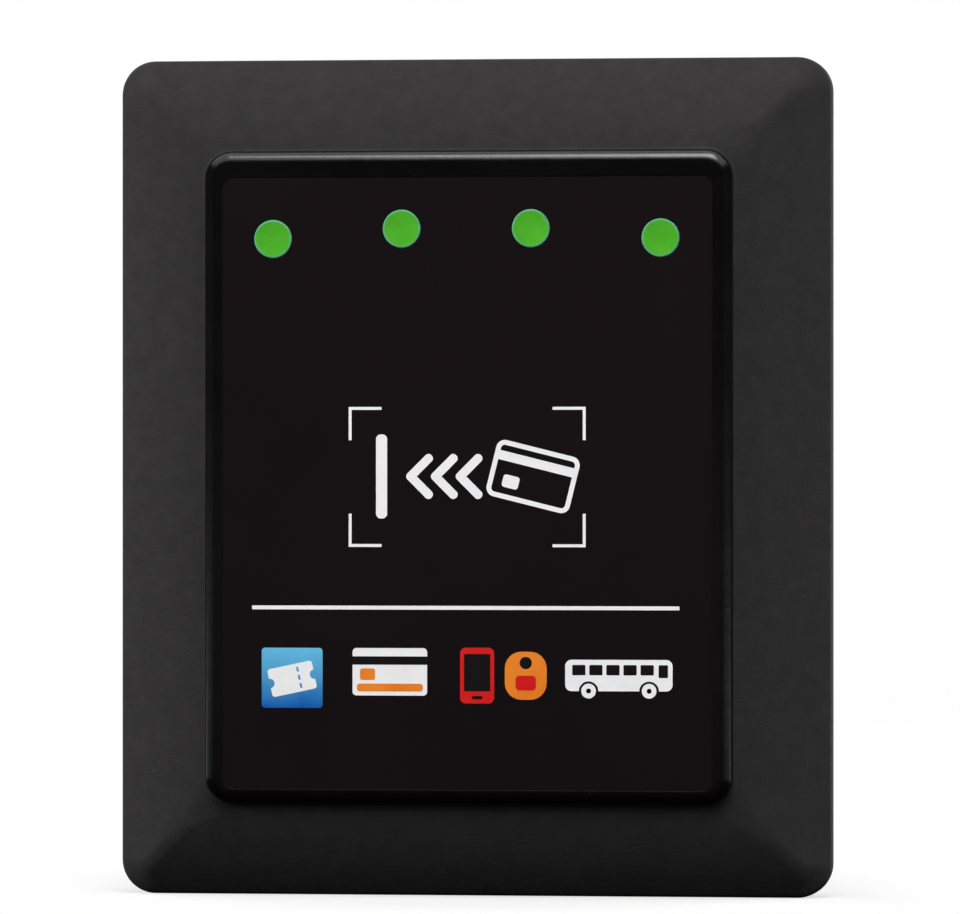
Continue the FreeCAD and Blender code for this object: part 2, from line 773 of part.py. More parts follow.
def make_antenna_coil():
    body = new_body("antenna_coil")
    pad(body, "Track", "0", "coil_copper", polygon(*coil_edge(1), *reversed(coil_edge(-1))))
    place(body, level=antenna_front, z="-coil_drop")


def make_ferrite_sheet():
    body = new_body("ferrite_sheet")
    pad(body, "Sheet", "-ferrite_thickness", "0",
        rounded("ferrite_size", "ferrite_size", "board_corner"))
    place(body, level=antenna_back, z="-coil_drop")


def make_antenna_screws():
    body = new_body("antenna_screws")
    tip = "antenna_thickness + antenna_screw_grip"
    crown = "-antenna_screw_head_height"
    screw = turned(body, "Screw",
                   ("0", crown), ("antenna_screw_head", crown), ("antenna_screw_head", "0"),
                   ("antenna_screw_core", "0"), ("antenna_screw_core", tip), ("0", tip),
                   x="-antenna_post_x", z="-antenna_post_rise / 2 - coil_drop")
    grid(body, screw, "2 * antenna_post_x", "antenna_post_rise")
    place(body, level=antenna_back)


# ---- Main board and what it carries ----

def connector_pin_grid(body, feature):
    columns = SIZES["pin_columns"]
    return grid(body, feature, f"{columns - 1} * pin_pitch", "pin_pitch", columns, 2)


def first_pin(z="0"):
    """The outline of the lower left pin of the two rows."""
    across = f"-{SIZES['pin_columns'] - 1} * pin_pitch / 2"
    return box("pin_size", "pin_size", across, f"{z} - pin_pitch / 2")


def make_main_board():
    body = new_body("main_board")
    pad(body, "Board", "0", "main_thickness",
        rounded("main_width", "main_height", "board_corner"),
        *four_corners(circle, "main_hole_x", "main_hole_z", "main_screw_core + screw_hole_gap"))
    hole = cut(body, "PinHole", "0", "main_thickness", first_pin("-connector_drop"))
    connector_pin_grid(body, hole)
    place(body, level=main_back)


def make_main_screws():
    body = new_body("main_board_screws")
    tip = "-main_thickness - main_screw_grip"
    screw = turned(body, "Screw",
                   ("0", tip), ("main_screw_core", tip), ("main_screw_core", "0"),
                   ("main_screw_head", "0"), ("main_screw_head", "main_screw_head_height"),
                   ("0", "main_screw_head_height"),
                   x="-main_hole_x / 2", z="-main_hole_z / 2")
    grid(body, screw, "main_hole_x", "main_hole_z")
    place(body, level=main_front)


def make_board_link():
    """The plug and socket that join the two boards."""
    plug = new_body("board_plug")
    pad(plug, "Block", "-link_plug_height", "0", box("link_width", "link_depth"))
    dress(plug, "Chamfer", "Corners", "link_depth / 10", along_y)
    place(plug, "link_x", antenna_back, "link_z")

    socket = new_body("board_socket")
    height = f"{antenna_back} - {main_front} - link_plug_height"
    pad(socket, "Block", "0", height, box("link_width", "link_depth"))
    dress(socket, "Chamfer", "Corners", "link_depth / 10", along_y)
    place(socket, "link_x", main_front, "link_z")


def make_shield_can():
    body = new_body("shield_can")
    pad(body, "Can", "0", "can_height", rounded("can_size", "can_size", "2 * can_wall"))
    cut(body, "Inside", "0", "can_height - can_wall",
        rounded("can_size - 2 * can_wall", "can_size - 2 * can_wall", "can_wall"))
    vent = cut(body, "Vent", "can_height - can_wall", "can_height",
               box("can_slot_length", "can_slot", "0", "-1.5 * can_slot_pitch"))
    grid(body, vent, "0", "3 * can_slot_pitch", 1, 4)
    place(body, "can_x", main_front, "can_z")


def make_chips():
    reader = new_body("reader_chip")
    pad(reader, "Package", "0", "reader_chip_height", box("reader_chip_size", "reader_chip_size"))
    place(reader, "can_x", main_front, "can_z")

    crystal = new_body("crystal")
    pad(crystal, "Package", "0", "crystal_height",
        rounded("crystal_width", "crystal_length", "crystal_width / 8"))
    place(crystal, "can_x - reader_chip_size", main_front, "can_z")

    controller = new_body("controller_chip")
    reach = (SIZES["lead_count"] - 1) / 2
    last = f"{2 * reach} * lead_pitch"
    across = pad(controller, "LeadAcross", "0", "lead_height",
                 box("lead_width", "controller_span", f"-{reach} * lead_pitch"))
    grid(controller, across, last, "0", SIZES["lead_count"], 1)
    pad(controller, "Package", "lead_height / 4", "controller_height",
        box("controller_size", "controller_size"))
    along = pad(controller, "LeadAlong", "0", "lead_height",
                box("controller_span", "lead_width", "0", f"-{reach} * lead_pitch"))
    grid(controller, along, "0", last, 1, SIZES["lead_count"])
    place(controller, "controller_x", main_front, "controller_z")


def make_buzzer():
    body = new_body("buzzer")
    rim = "buzzer_radius - buzzer_port / 2"
    turned(body, "Case",
           ("0", "0"), ("buzzer_radius", "0"),
           ("buzzer_radius", "buzzer_height - buzzer_port / 2"), (rim, "buzzer_height"),
           ("buzzer_port", "buzzer_height"), ("buzzer_port", "buzzer_height - buzzer_port"),
           ("0", "buzzer_height - buzzer_port"))
    place(body, "buzzer_x", main_front, "buzzer_z")


def make_power_parts():
    capacitors = new_body("capacitors")
    base = pad(capacitors, "Base", "0", "capacitor_base",
               box("2 * capacitor_radius", "2 * capacitor_radius"))
    can = turned(capacitors, "Can",
                 ("0", "capacitor_base"), ("capacitor_radius", "capacitor_base"),
                 ("capacitor_radius", "capacitor_height"), ("0", "capacitor_height"))
    pattern = grid(capacitors, base, "0", "capacitor_pitch", 1, 2)
    pattern.Originals = [base, can]
    place(capacitors, "capacitor_x", main_front, "capacitor_z")

    inductor = new_body("power_inductor")
    pad(inductor, "Block", "0", "inductor_height",
        rounded("inductor_size", "inductor_size", "inductor_size / 5"))
    dress(inductor, "Chamfer", "TopEdge", "inductor_height / 8", at_level("inductor_height"))
    place(inductor, "inductor_x", main_front, "inductor_z")


def make_sam():
    """The security module's card in its socket, on the back of the main board."""
    socket = new_body("sam_socket")
    card_face = "(-sam_floor - sam_card_thickness - sam_gap)"
    pad(socket, "Block", "-sam_depth", "0", box("sam_width", "sam_height"))
    cut(socket, "CardBay", "-sam_depth", "-sam_floor",
        box("sam_card_width + 2 * sam_gap", "sam_card_height + 2 * sam_gap"))
    pad(socket, "Latches", "-sam_depth", card_face,
        *[box("sam_latch * 2", "sam_card_height / 2", f"{side} * sam_card_width / 2")
          for side in (-1, 1)])
    place(socket, "0", main_back, "sam_z")

    card = new_body("sam_card")
    right, top = "sam_card_width / 2", "sam_card_height / 2"
    pad(card, "Card", "-sam_card_thickness", "0",
        polygon((f"-{right}", f"-{top}"), (f"{right} - sam_card_notch", f"-{top}"),
                (right, f"-{top} + sam_card_notch"), (right, top), (f"-{right}", top)))
    place(card, "0", f"{main_back} - sam_floor", "sam_z")


# ---- Host connector ----

def make_host_connector():
    shroud = new_body("host_connector")
    pad(shroud, "Shroud", "-connector_height", "0", box("connector_width", "connector_depth"))
    cut(shroud, "Socket", "-connector_height", "-connector_base",
        box("connector_width - 2 * connector_wall", "connector_depth - 2 * connector_wall"))
    cut(shroud, "Key", "-connector_height", "-connector_base",
        box("connector_key", "2 * connector_wall", "0", "connector_depth / 2"))
    dress(shroud, "Chamfer", "Corners", "connector_wall / 3",
          lambda edge: along_y(edge) and edge.BoundBox.XMax > value("connector_width / 2 - 0.01")
          or along_y(edge) and edge.BoundBox.XMin < -value("connector_width / 2 - 0.01"))
    hole = cut(shroud, "PinHole", "-connector_base", "0", first_pin())
    connector_pin_grid(shroud, hole)
    place(shroud, "0", main_back, "-connector_drop")

    pins = new_body("connector_pins")
    top = "main_thickness + pin_size"
    pin = pad(pins, "Pin", f"{top} - pin_length", top, first_pin())
    connector_pin_grid(pins, pin)
    place(pins, "0", main_back, "-connector_drop")


def make_connector_seal():
    """A lipped rubber grommet between the connector and the rear wall."""
    body = new_body("connector_seal")
    bore = box("connector_width", "connector_depth")
    wide = ["connector_width + 2 * grommet_wall", "connector_depth + 2 * grommet_wall"]
    lips = [f"{size} + 2 * grommet_lip" for size in wide]
    pad(body, "Neck", "-tub_floor", "0", rounded(*wide, "grommet_wall"), bore)
    pad(body, "InnerLip", "0", "grommet_lip", rounded(*lips, "grommet_wall + grommet_lip"), bore)
    pad(body, "OuterLip", "-tub_floor - grommet_lip", "-tub_floor",
        rounded(*lips, "grommet_wall + grommet_lip"), bore)
    place(body, "0", floor_level, "-connector_drop")


# ---- Rear housing ----

def make_rear_housing():
    body = new_body("rear_housing")
    rear_level = f"({rim_level} - tub_depth)"
    pad(body, "Flange", rim_level, land_level,
        rounded("flange_width", "flange_height", "flange_corner"))
    drafted(body, "Pad", "Tub", rim_level, "tub_depth",
            rounded("tub_width", "tub_height", "tub_corner"))
    dress(body, "Fillet", "RearRound", "tub_round", at_level(rear_level))
    drafted(body, "Pocket", "Interior", land_level, "flange_thickness + tub_depth - tub_floor",
            rounded("tub_width - 2 * tub_wall", "tub_height - 2 * tub_wall",
                    "tub_corner - tub_wall"))

    rib = "(tub_width / 2 - tub_wall / 2 - main_hole_x / 2)"
    pad(body, "Standoffs", floor_level, main_back,
        *four_corners(circle, "main_hole_x", "main_hole_z", "standoff_radius"))
    pad(body, "Ribs", floor_level, f"{main_back} - standoff_rib",
        *four_corners(box, f"main_hole_x + {rib}", "main_hole_z", rib, "standoff_rib"))
    cut(body, "BoardPilots", f"{main_back} - main_screw_grip", main_back,
        *four_corners(circle, "main_hole_x", "main_hole_z", "main_screw_core"))
    cut(body, "ConnectorOpening", rear_level, floor_level,
        rounded("connector_width + 2 * grommet_wall", "connector_depth + 2 * grommet_wall",
                "grommet_wall", "0", "-connector_drop"))

    radius = "case_screw_core + screw_hole_gap"
    cut(body, "CaseHoles", rim_level, land_level, *case_screws(radius))

    def is_mouth(edge):
        round_edge = isinstance(edge.Curve, Part.Circle)
        return round_edge and at_level(rim_level)(edge) and abs(edge.Curve.Radius - value(radius)) < 1e-4
    dress(body, "Chamfer", "Countersinks", f"case_screw_head - ({radius})", is_mouth)


def make_case_screws():
    """Countersunk screws, flush with the flange, one solid for each place."""
    body = new_body("housing_screws")
    tip = f"{land_level} + case_screw_grip"
    neck = f"{rim_level} + case_screw_head - case_screw_core"
    outline = [("0", rim_level), ("case_screw_head", rim_level), ("case_screw_core", neck),
               ("case_screw_core", tip), ("0", tip)]
    side = turned(body, "SideScrew", *outline, x="-case_screw_x / 2", z="-case_screw_rise / 2")
    grid(body, side, "case_screw_x", "case_screw_rise")
    end = turned(body, "EndScrew", *outline, z="-end_screw_z / 2")
    grid(body, end, "0", "end_screw_z", 1, 2)


def make_housing_seal():
    body = new_body("housing_seal")
    pad(body, "Ring", "0", "seal_depth", *seal_ring)
    place(body, level=land_level)


# ---- Panel fixings ----

def make_panel_gasket():
    body = new_body("panel_gasket")
    pad(body, "Sheet", "0", rim_level,
        rounded("bezel_width - 2 * gasket_inset", "bezel_height - 2 * gasket_inset",
                "bezel_corner - gasket_inset"),
        rounded("tub_width + 2 * gasket_opening_gap", "tub_height + 2 * gasket_opening_gap",
                "tub_corner + gasket_opening_gap"),
        *four_corners(circle, "stud_spacing_x", "stud_spacing_z", "gasket_hole"))
    place(body)


def make_studs():
    body = new_body("mounting_studs")
    head = f"{rim_level} + stud_head_height"
    stud = turned(body, "Stud",
                  ("0", head), ("stud_head_radius", head), ("stud_head_radius", rim_level),
                  ("stud_radius", rim_level), ("stud_radius", "-stud_plain"),
                  ("thread_radius", "-stud_plain"), ("thread_radius", "stud_tip - stud_length"),
                  ("thread_radius - stud_tip", "-stud_length"), ("0", "-stud_length"),
                  x="-stud_spacing_x / 2", z="-stud_spacing_z / 2")
    grid(body, stud, "stud_spacing_x", "stud_spacing_z")


def make_nut_and_washer(number, x, z):
    """A nut with a captive tooth washer that turns freely on the nut's collar."""
    washer = new_body(f"washer_{number}")
    pad(washer, "Disc", "0", "washer_thickness",
        circle("washer_radius"), circle("nut_collar_radius + washer_gap"))
    notch = cut(washer, "Notch", "0", "washer_thickness",
                box("washer_tooth", "washer_tooth * 2", "0", "washer_radius"))
    teeth = washer.newObject("PartDesign::PolarPattern", "Teeth")
    teeth.Originals = [notch]
    teeth.Axis = (origin_part(washer, "Y_Axis"), [""])
    teeth.Angle = 360
    teeth.Occurrences = SIZES["washer_teeth"]
    washer.Tip = teeth
    place(washer, x, nut_face, z)

    nut = new_body(f"nut_{number}")
    front, back = "-nut_gap", "(-nut_gap - nut_height)"
    pad(nut, "Hexagon", back, front, hexagon("nut_flats"))
    bevel_run = "(nut_flats * (1 / sqrt(3) - 0.5))"
    turned(nut, "Bevel", ("nut_flats / 2", back),
           (f"nut_flats / 2 + {bevel_run} * 2", back),
           (f"nut_flats / 2 + {bevel_run} * 2", f"{back} + nut_chamfer * 2"), kind="Groove")
    pad(nut, "Collar", front, "washer_thickness * 0.8", circle("nut_collar_radius"))
    cut(nut, "Bore", back, "washer_thickness * 0.8", circle("thread_radius + nut_gap"))
    place(nut, x, nut_face, z)


# ---- Assembly ----

make_front_bezel()
make_label()
make_light_shield()
for number, (x, z) in enumerate(light_places, start=1):
    make_light(number, x, z)
make_antenna_board()
make_antenna_coil()
make_ferrite_sheet()
make_antenna_screws()
make_board_link()
make_main_board()
make_main_screws()
make_shield_can()
make_chips()
make_buzzer()
make_power_parts()
make_sam()
make_host_connector()
make_connector_seal()
make_rear_housing()
make_case_screws()
make_housing_seal()
make_panel_gasket()
make_studs()
stud_signs = [(-1, 1), (1, 1), (1, -1), (-1, -1)]
for number, (sx, sz) in enumerate(stud_signs, start=1):
    make_nut_and_washer(number, f"{sx} * stud_spacing_x / 2", f"{sz} * stud_spacing_z / 2")
doc.recompute()

for item in doc.Objects:
    if "Invalid" in item.State or "Error" in item.State:
        raise RuntimeError(f"{item.Label} failed: {item.State}")
for body in nodes:
    if body.Shape.isNull() or not body.Shape.isValid():
        raise RuntimeError(f"{body.Label} has no valid shape")

os.makedirs("parts", exist_ok=True)
for body in nodes:
    body.Shape.exportStep(f"parts/{body.Label}.step")
    solids = len(body.Shape.Solids)
    print(f"{body.Label}: {solids} solids, {body.Shape.Volume:.2f} mm3")
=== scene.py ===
import json
import math
from functools import cached_property
import bmesh
import bpy
from mathutils import Matrix, Vector


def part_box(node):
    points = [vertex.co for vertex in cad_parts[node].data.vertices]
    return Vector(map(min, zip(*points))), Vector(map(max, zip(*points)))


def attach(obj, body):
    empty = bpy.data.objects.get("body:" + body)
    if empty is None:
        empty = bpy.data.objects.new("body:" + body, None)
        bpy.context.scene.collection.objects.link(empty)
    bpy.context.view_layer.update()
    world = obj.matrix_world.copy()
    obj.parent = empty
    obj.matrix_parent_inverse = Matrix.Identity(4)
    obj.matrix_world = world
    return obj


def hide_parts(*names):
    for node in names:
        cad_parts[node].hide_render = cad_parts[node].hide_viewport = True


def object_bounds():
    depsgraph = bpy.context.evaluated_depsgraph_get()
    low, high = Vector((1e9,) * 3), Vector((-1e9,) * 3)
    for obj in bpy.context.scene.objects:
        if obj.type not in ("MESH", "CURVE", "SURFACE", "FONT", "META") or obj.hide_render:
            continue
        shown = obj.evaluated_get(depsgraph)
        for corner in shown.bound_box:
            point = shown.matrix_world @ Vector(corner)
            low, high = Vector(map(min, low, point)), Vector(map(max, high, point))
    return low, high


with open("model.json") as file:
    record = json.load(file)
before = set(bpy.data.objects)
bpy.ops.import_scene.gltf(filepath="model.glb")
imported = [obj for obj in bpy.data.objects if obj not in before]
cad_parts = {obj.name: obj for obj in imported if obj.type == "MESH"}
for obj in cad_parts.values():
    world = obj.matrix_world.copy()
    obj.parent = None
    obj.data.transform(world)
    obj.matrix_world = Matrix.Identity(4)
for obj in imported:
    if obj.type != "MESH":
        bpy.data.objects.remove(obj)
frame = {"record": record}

# Contactless ticket validator head. Pieces are modelled in millimetres and
# scaled to metres when they are finished. A level is a distance out of the
# panel's face towards the passenger, so level = -y.
mm = 0.001
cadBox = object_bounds()


def sizeOf(node):  # width, depth and height of a node in millimetres
    low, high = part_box(node)
    return [(b - a) / mm for a, b in zip(low, high)]


def middleOf(node):
    low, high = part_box(node)
    return [(b + a) / 2 / mm for a, b in zip(low, high)]


def levelsOf(node):  # lowest and highest level of a node
    low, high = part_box(node)
    return -high[1] / mm, -low[1] / mm


# modelling helpers; lengths below which vertices are one and edges are cleared

weld = dict(verts=0.0008, edges=0.0002, thread=0.001, cut=0.00001)


def ring(width, height, corner, level, x=0, z=0):
    return dict(width=width, height=height, corner=corner, level=level, x=x, z=z)


def startLoop(bm, outline, steps=10):  # a rounded rectangle of edges, parallel to the panel
    made = bmesh.ops.create_grid(bm, x_segments=1, y_segments=1, size=0.5)["verts"]
    bmesh.ops.scale(bm, vec=(outline["width"], outline["height"], 1), verts=made)
    bmesh.ops.rotate(bm, matrix=Matrix.Rotation(math.radians(90), 3, "X"), verts=made)
    bmesh.ops.translate(bm, vec=(outline["x"], -outline["level"], outline["z"]), verts=made)
    made = bmesh.ops.bevel(bm, geom=made, offset=outline["corner"], offset_type="OFFSET",
                           affect="VERTICES", segments=steps, profile=0.5, material=-1)["verts"]
    face = made[0].link_faces[0]
    edges = list(face.edges)
    bmesh.ops.delete(bm, geom=[face], context="FACES_ONLY")
    return edges


def vertsIn(made):
    return [item for item in made if isinstance(item, bmesh.types.BMVert)]


def everythingIn(bm):
    return list(bm.verts) + list(bm.edges) + list(bm.faces)


def carryOn(bm, loop):  # extrude a loop of edges in place; the new vertices and the new loop
    made = bmesh.ops.extrude_edge_only(bm, edges=loop)["geom"]
    verts = vertsIn(made)
    fresh = set(verts)
    edges = [item for item in made
             if isinstance(item, bmesh.types.BMEdge) and set(item.verts) <= fresh]
    return verts, edges


def nextLoop(bm, loop, old, new):  # carry a loop on to its next outline
    verts, edges = carryOn(bm, loop)
    grow = new["corner"] / old["corner"]
    for vert in verts:
        sideX = math.copysign(1, vert.co.x - old["x"])
        sideZ = math.copysign(1, vert.co.z - old["z"])
        oldX = old["x"] + sideX * (old["width"] / 2 - old["corner"])
        oldZ = old["z"] + sideZ * (old["height"] / 2 - old["corner"])
        newX = new["x"] + sideX * (new["width"] / 2 - new["corner"])
        newZ = new["z"] + sideZ * (new["height"] / 2 - new["corner"])
        vert.co = (newX + (vert.co.x - oldX) * grow, -new["level"], newZ + (vert.co.z - oldZ) * grow)
    return edges


def loopStack(bm, rings, steps=10):  # a skin through a list of outlines, open at both ends
    loops = [startLoop(bm, rings[0], steps)]
    for old, new in zip(rings, rings[1:]):
        loops.append(nextLoop(bm, loops[-1], old, new))
    return loops


def circleLoop(bm, radius, level, x=0, z=0, steps=40):
    turn = Matrix.Translation((x, -level, z)) @ Matrix.Rotation(math.radians(90), 4, "X")
    made = bmesh.ops.create_circle(bm, cap_ends=False, segments=steps, radius=radius, matrix=turn)
    return list({edge for vert in made["verts"] for edge in vert.link_edges})


def fillFlat(bm, *loops):  # a flat face with holes
    edges = [edge for loop in loops for edge in loop]
    made = bmesh.ops.triangle_fill(bm, use_beauty=True, use_dissolve=False, edges=edges,
                                   normal=(0, -1, 0))["geom"]
    return [item for item in made if isinstance(item, bmesh.types.BMFace)]


def bridged(bm, first, second):
    bmesh.ops.bridge_loops(bm, edges=first + second)


def thicken(bm, faces, rise):  # a closed plate from a flat face; gives back what it adds
    made = bmesh.ops.extrude_face_region(bm, geom=faces)["geom"]
    bmesh.ops.translate(bm, vec=(0, -rise, 0), verts=vertsIn(made))
    return made


def roundEdges(bm, edges, size, steps):
    bmesh.ops.bevel(bm, geom=edges, offset=size, offset_type="OFFSET", affect="EDGES",
                    segments=steps, profile=0.5, material=-1, clamp_overlap=True)


def chainOf(bm, points):  # vertices joined by edges, ready to spin
    verts = [bmesh.ops.create_vert(bm, co=point)["vert"][0] for point in points]
    return verts + [bm.edges.new(pair) for pair in zip(verts, verts[1:])]


def turnedShape(bm, outline, x=0, z=0, steps=48):  # (radius, level) pairs about an axis along y
    chain = chainOf(bm, [(x + radius, -level, z) for radius, level in outline])
    bmesh.ops.spin(bm, geom=chain, cent=(x, 0, z), axis=(0, 1, 0), angle=2 * math.pi,
                   steps=steps, use_merge=True)


def objectFrom(bm, name, materials):
    mesh = bpy.data.meshes.new(name)
    bm.to_mesh(mesh)
    bm.free()
    for material in materials:
        mesh.materials.append(material)
    made = bpy.data.objects.new(name, mesh)
    bpy.context.collection.objects.link(made)
    return made


def finishPiece(bm, name, coats, body="reader", nodes=(), crease=32, merged=True):
    if merged:
        bmesh.ops.remove_doubles(bm, verts=bm.verts, dist=weld["verts"])
        bmesh.ops.dissolve_degenerate(bm, edges=bm.edges, dist=weld["edges"])
    bmesh.ops.delete(bm, geom=[edge for edge in bm.edges if not edge.link_faces], context="EDGES")
    bmesh.ops.recalc_face_normals(bm, faces=bm.faces)
    bmesh.ops.scale(bm, vec=(mm, mm, mm), verts=bm.verts)
    piece = objectFrom(bm, name, [finishes[coat] for coat in coats])
    piece.data.shade_smooth()
    piece.data.set_sharp_from_angle(angle=math.radians(crease))
    flat = piece.modifiers.new("flatFaces", "WEIGHTED_NORMAL")
    flat.keep_sharp = True
    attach(piece, body)
    if nodes:
        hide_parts(*nodes)
    return piece


# finishes

class NodeKit:  # short ways to add nodes to a material or the world
    def __init__(self, owner):
        owner.use_nodes = True
        self.owner = owner
        self.nodes, self.links = owner.node_tree.nodes, owner.node_tree.links

    def plug(self, node, values):  # set or link a node's inputs, by name or number
        for key, value in values.items():
            if isinstance(value, bpy.types.NodeSocket):
                self.links.new(value, node.inputs[key])
            else:
                node.inputs[key].default_value = value

    def add(self, kind, values, out=0, **settings):  # one output of a new node
        node = self.nodes.new("ShaderNode" + kind)
        for key, value in settings.items():
            setattr(node, key, value)
        self.plug(node, values)
        return node.outputs[out]

    @cached_property
    def place(self):  # where a point lies on its piece
        return self.add("TexCoord", {}, "Object")

    def noise(self, scale, detail):
        return self.add("TexNoise", {"Scale": scale, "Detail": detail, "Roughness": 0.55,
                                     "Vector": self.place}, "Fac")

    def spread(self, source, low, high, fromLow=0.3, fromHigh=0.7):  # map a pattern on to a range
        return self.add("MapRange", {"Value": source, "From Min": fromLow, "From Max": fromHigh,
                                     "To Min": low, "To Max": high}, "Result")

    def blend(self, factor, low, high):  # mix two colours or two sockets
        low, high = [(*tone, 1) if isinstance(tone, tuple) else tone for tone in (low, high)]
        return self.add("Mix", {0: factor, 6: low, 7: high}, 2, data_type="RGBA")

    def bump(self, height, distance, **under):
        return self.add("Bump", {"Height": height, "Distance": distance, "Strength": 1, **under}, "Normal")

    def joined(self, kind, first, second):
        return self.add("Math", {0: first, 1: second}, operation=kind)


def materialKit(name):
    return NodeKit(bpy.data.materials.new(name))


# sizes of the patterns against a look's own, and the ranges that they are cut to
pattern = dict(glossScale=2.3, wearScale=6, wearEdge=(0.52, 0.62), leastWear=0.2, wornGloss=0.75,
               speckEdge=(0.04, 0.07), speckSpread=0.23, speckRare=(0.66, 0.7),
               smoothScale=2, tileMottle=0.08)


def makeFinish(name, look):  # colour patches, uneven gloss, two sizes of bump and worn edges
    kit = materialKit(name)
    colour = kit.blend(kit.spread(kit.noise(look["patch"], detail=4), 0, 1), look["dark"], look["light"])
    gloss = kit.spread(kit.noise(look["patch"] * pattern["glossScale"], detail=3), *look["roughness"])
    if "wear" in look:  # rubbed along the edges, broken up by a pattern
        edge = kit.add("NewGeometry", {}, "Pointiness")
        rubbed = kit.joined("MULTIPLY", kit.spread(edge, 0, look["wear"], *pattern["wearEdge"]),
                            kit.spread(kit.noise(look["patch"] * pattern["wearScale"], detail=4),
                                       pattern["leastWear"], 1))
        colour = kit.blend(rubbed, colour, look["worn"])
        gloss = kit.joined("MULTIPLY", gloss, kit.spread(rubbed, 1, pattern["wornGloss"], 0, 1))
    if "specks" in look:  # sparse dust
        cells = kit.add("TexVoronoi", {"Scale": look["specks"], "Vector": kit.place}, "Distance")
        dust = kit.spread(cells, 1, 0, *pattern["speckEdge"])
        rare = kit.spread(kit.noise(look["specks"] * pattern["speckSpread"], detail=2), 0, 1,
                          *pattern["speckRare"])
        colour = kit.blend(kit.joined("MULTIPLY", dust, rare), colour, look["dust"])
    normal = kit.bump(kit.noise(look["grain"], detail=3), look["grainDepth"])
    if "swell" in look:  # slow unevenness of a moulded face
        normal = kit.bump(kit.noise(look["swell"], detail=2), look["swellDepth"], Normal=normal)
    kit.plug(kit.nodes["Principled BSDF"], {
        "Base Color": colour, "Roughness": gloss, "Normal": normal,
        "Metallic": look.get("metallic", 0), "Specular IOR Level": look.get("specular", 0.5)})
    return kit.owner


def smoothCoat(kit, look, colour, more):  # a colour under a fine grain, and what else the finish has
    gloss = kit.spread(kit.noise(look["patch"] * pattern["smoothScale"], detail=3), *look["roughness"])
    normal = kit.bump(kit.noise(look["grain"], detail=2), look["grainDepth"])
    kit.plug(kit.nodes["Principled BSDF"], {
        "Base Color": colour, "Roughness": gloss, "Normal": normal,
        "Specular IOR Level": look["specular"], **more})


def makeGlow(name, look):  # a lit lens: a colour that gives its own light
    kit = materialKit(name)
    colour = kit.blend(kit.spread(kit.noise(look["patch"], detail=3), 0, 1), look["dark"], look["light"])
    smoothCoat(kit, look, colour, {"Emission Color": colour, "Emission Strength": look["strength"]})
    return kit.owner


def makeTileBlue(name, look):  # printed tile that runs from a light to a deep blue
    kit = materialKit(name)
    height = kit.add("SeparateXYZ", {0: kit.place}, "Z")
    down = kit.spread(height, 0, 1, look["top"] * mm, look["bottom"] * mm)
    mottle = pattern["tileMottle"]
    mottled = kit.joined("ADD", down, kit.spread(kit.noise(look["patch"], detail=3), -mottle, mottle))
    smoothCoat(kit, look, kit.blend(mottled, look["light"], look["deep"]), {})
    return kit.owner


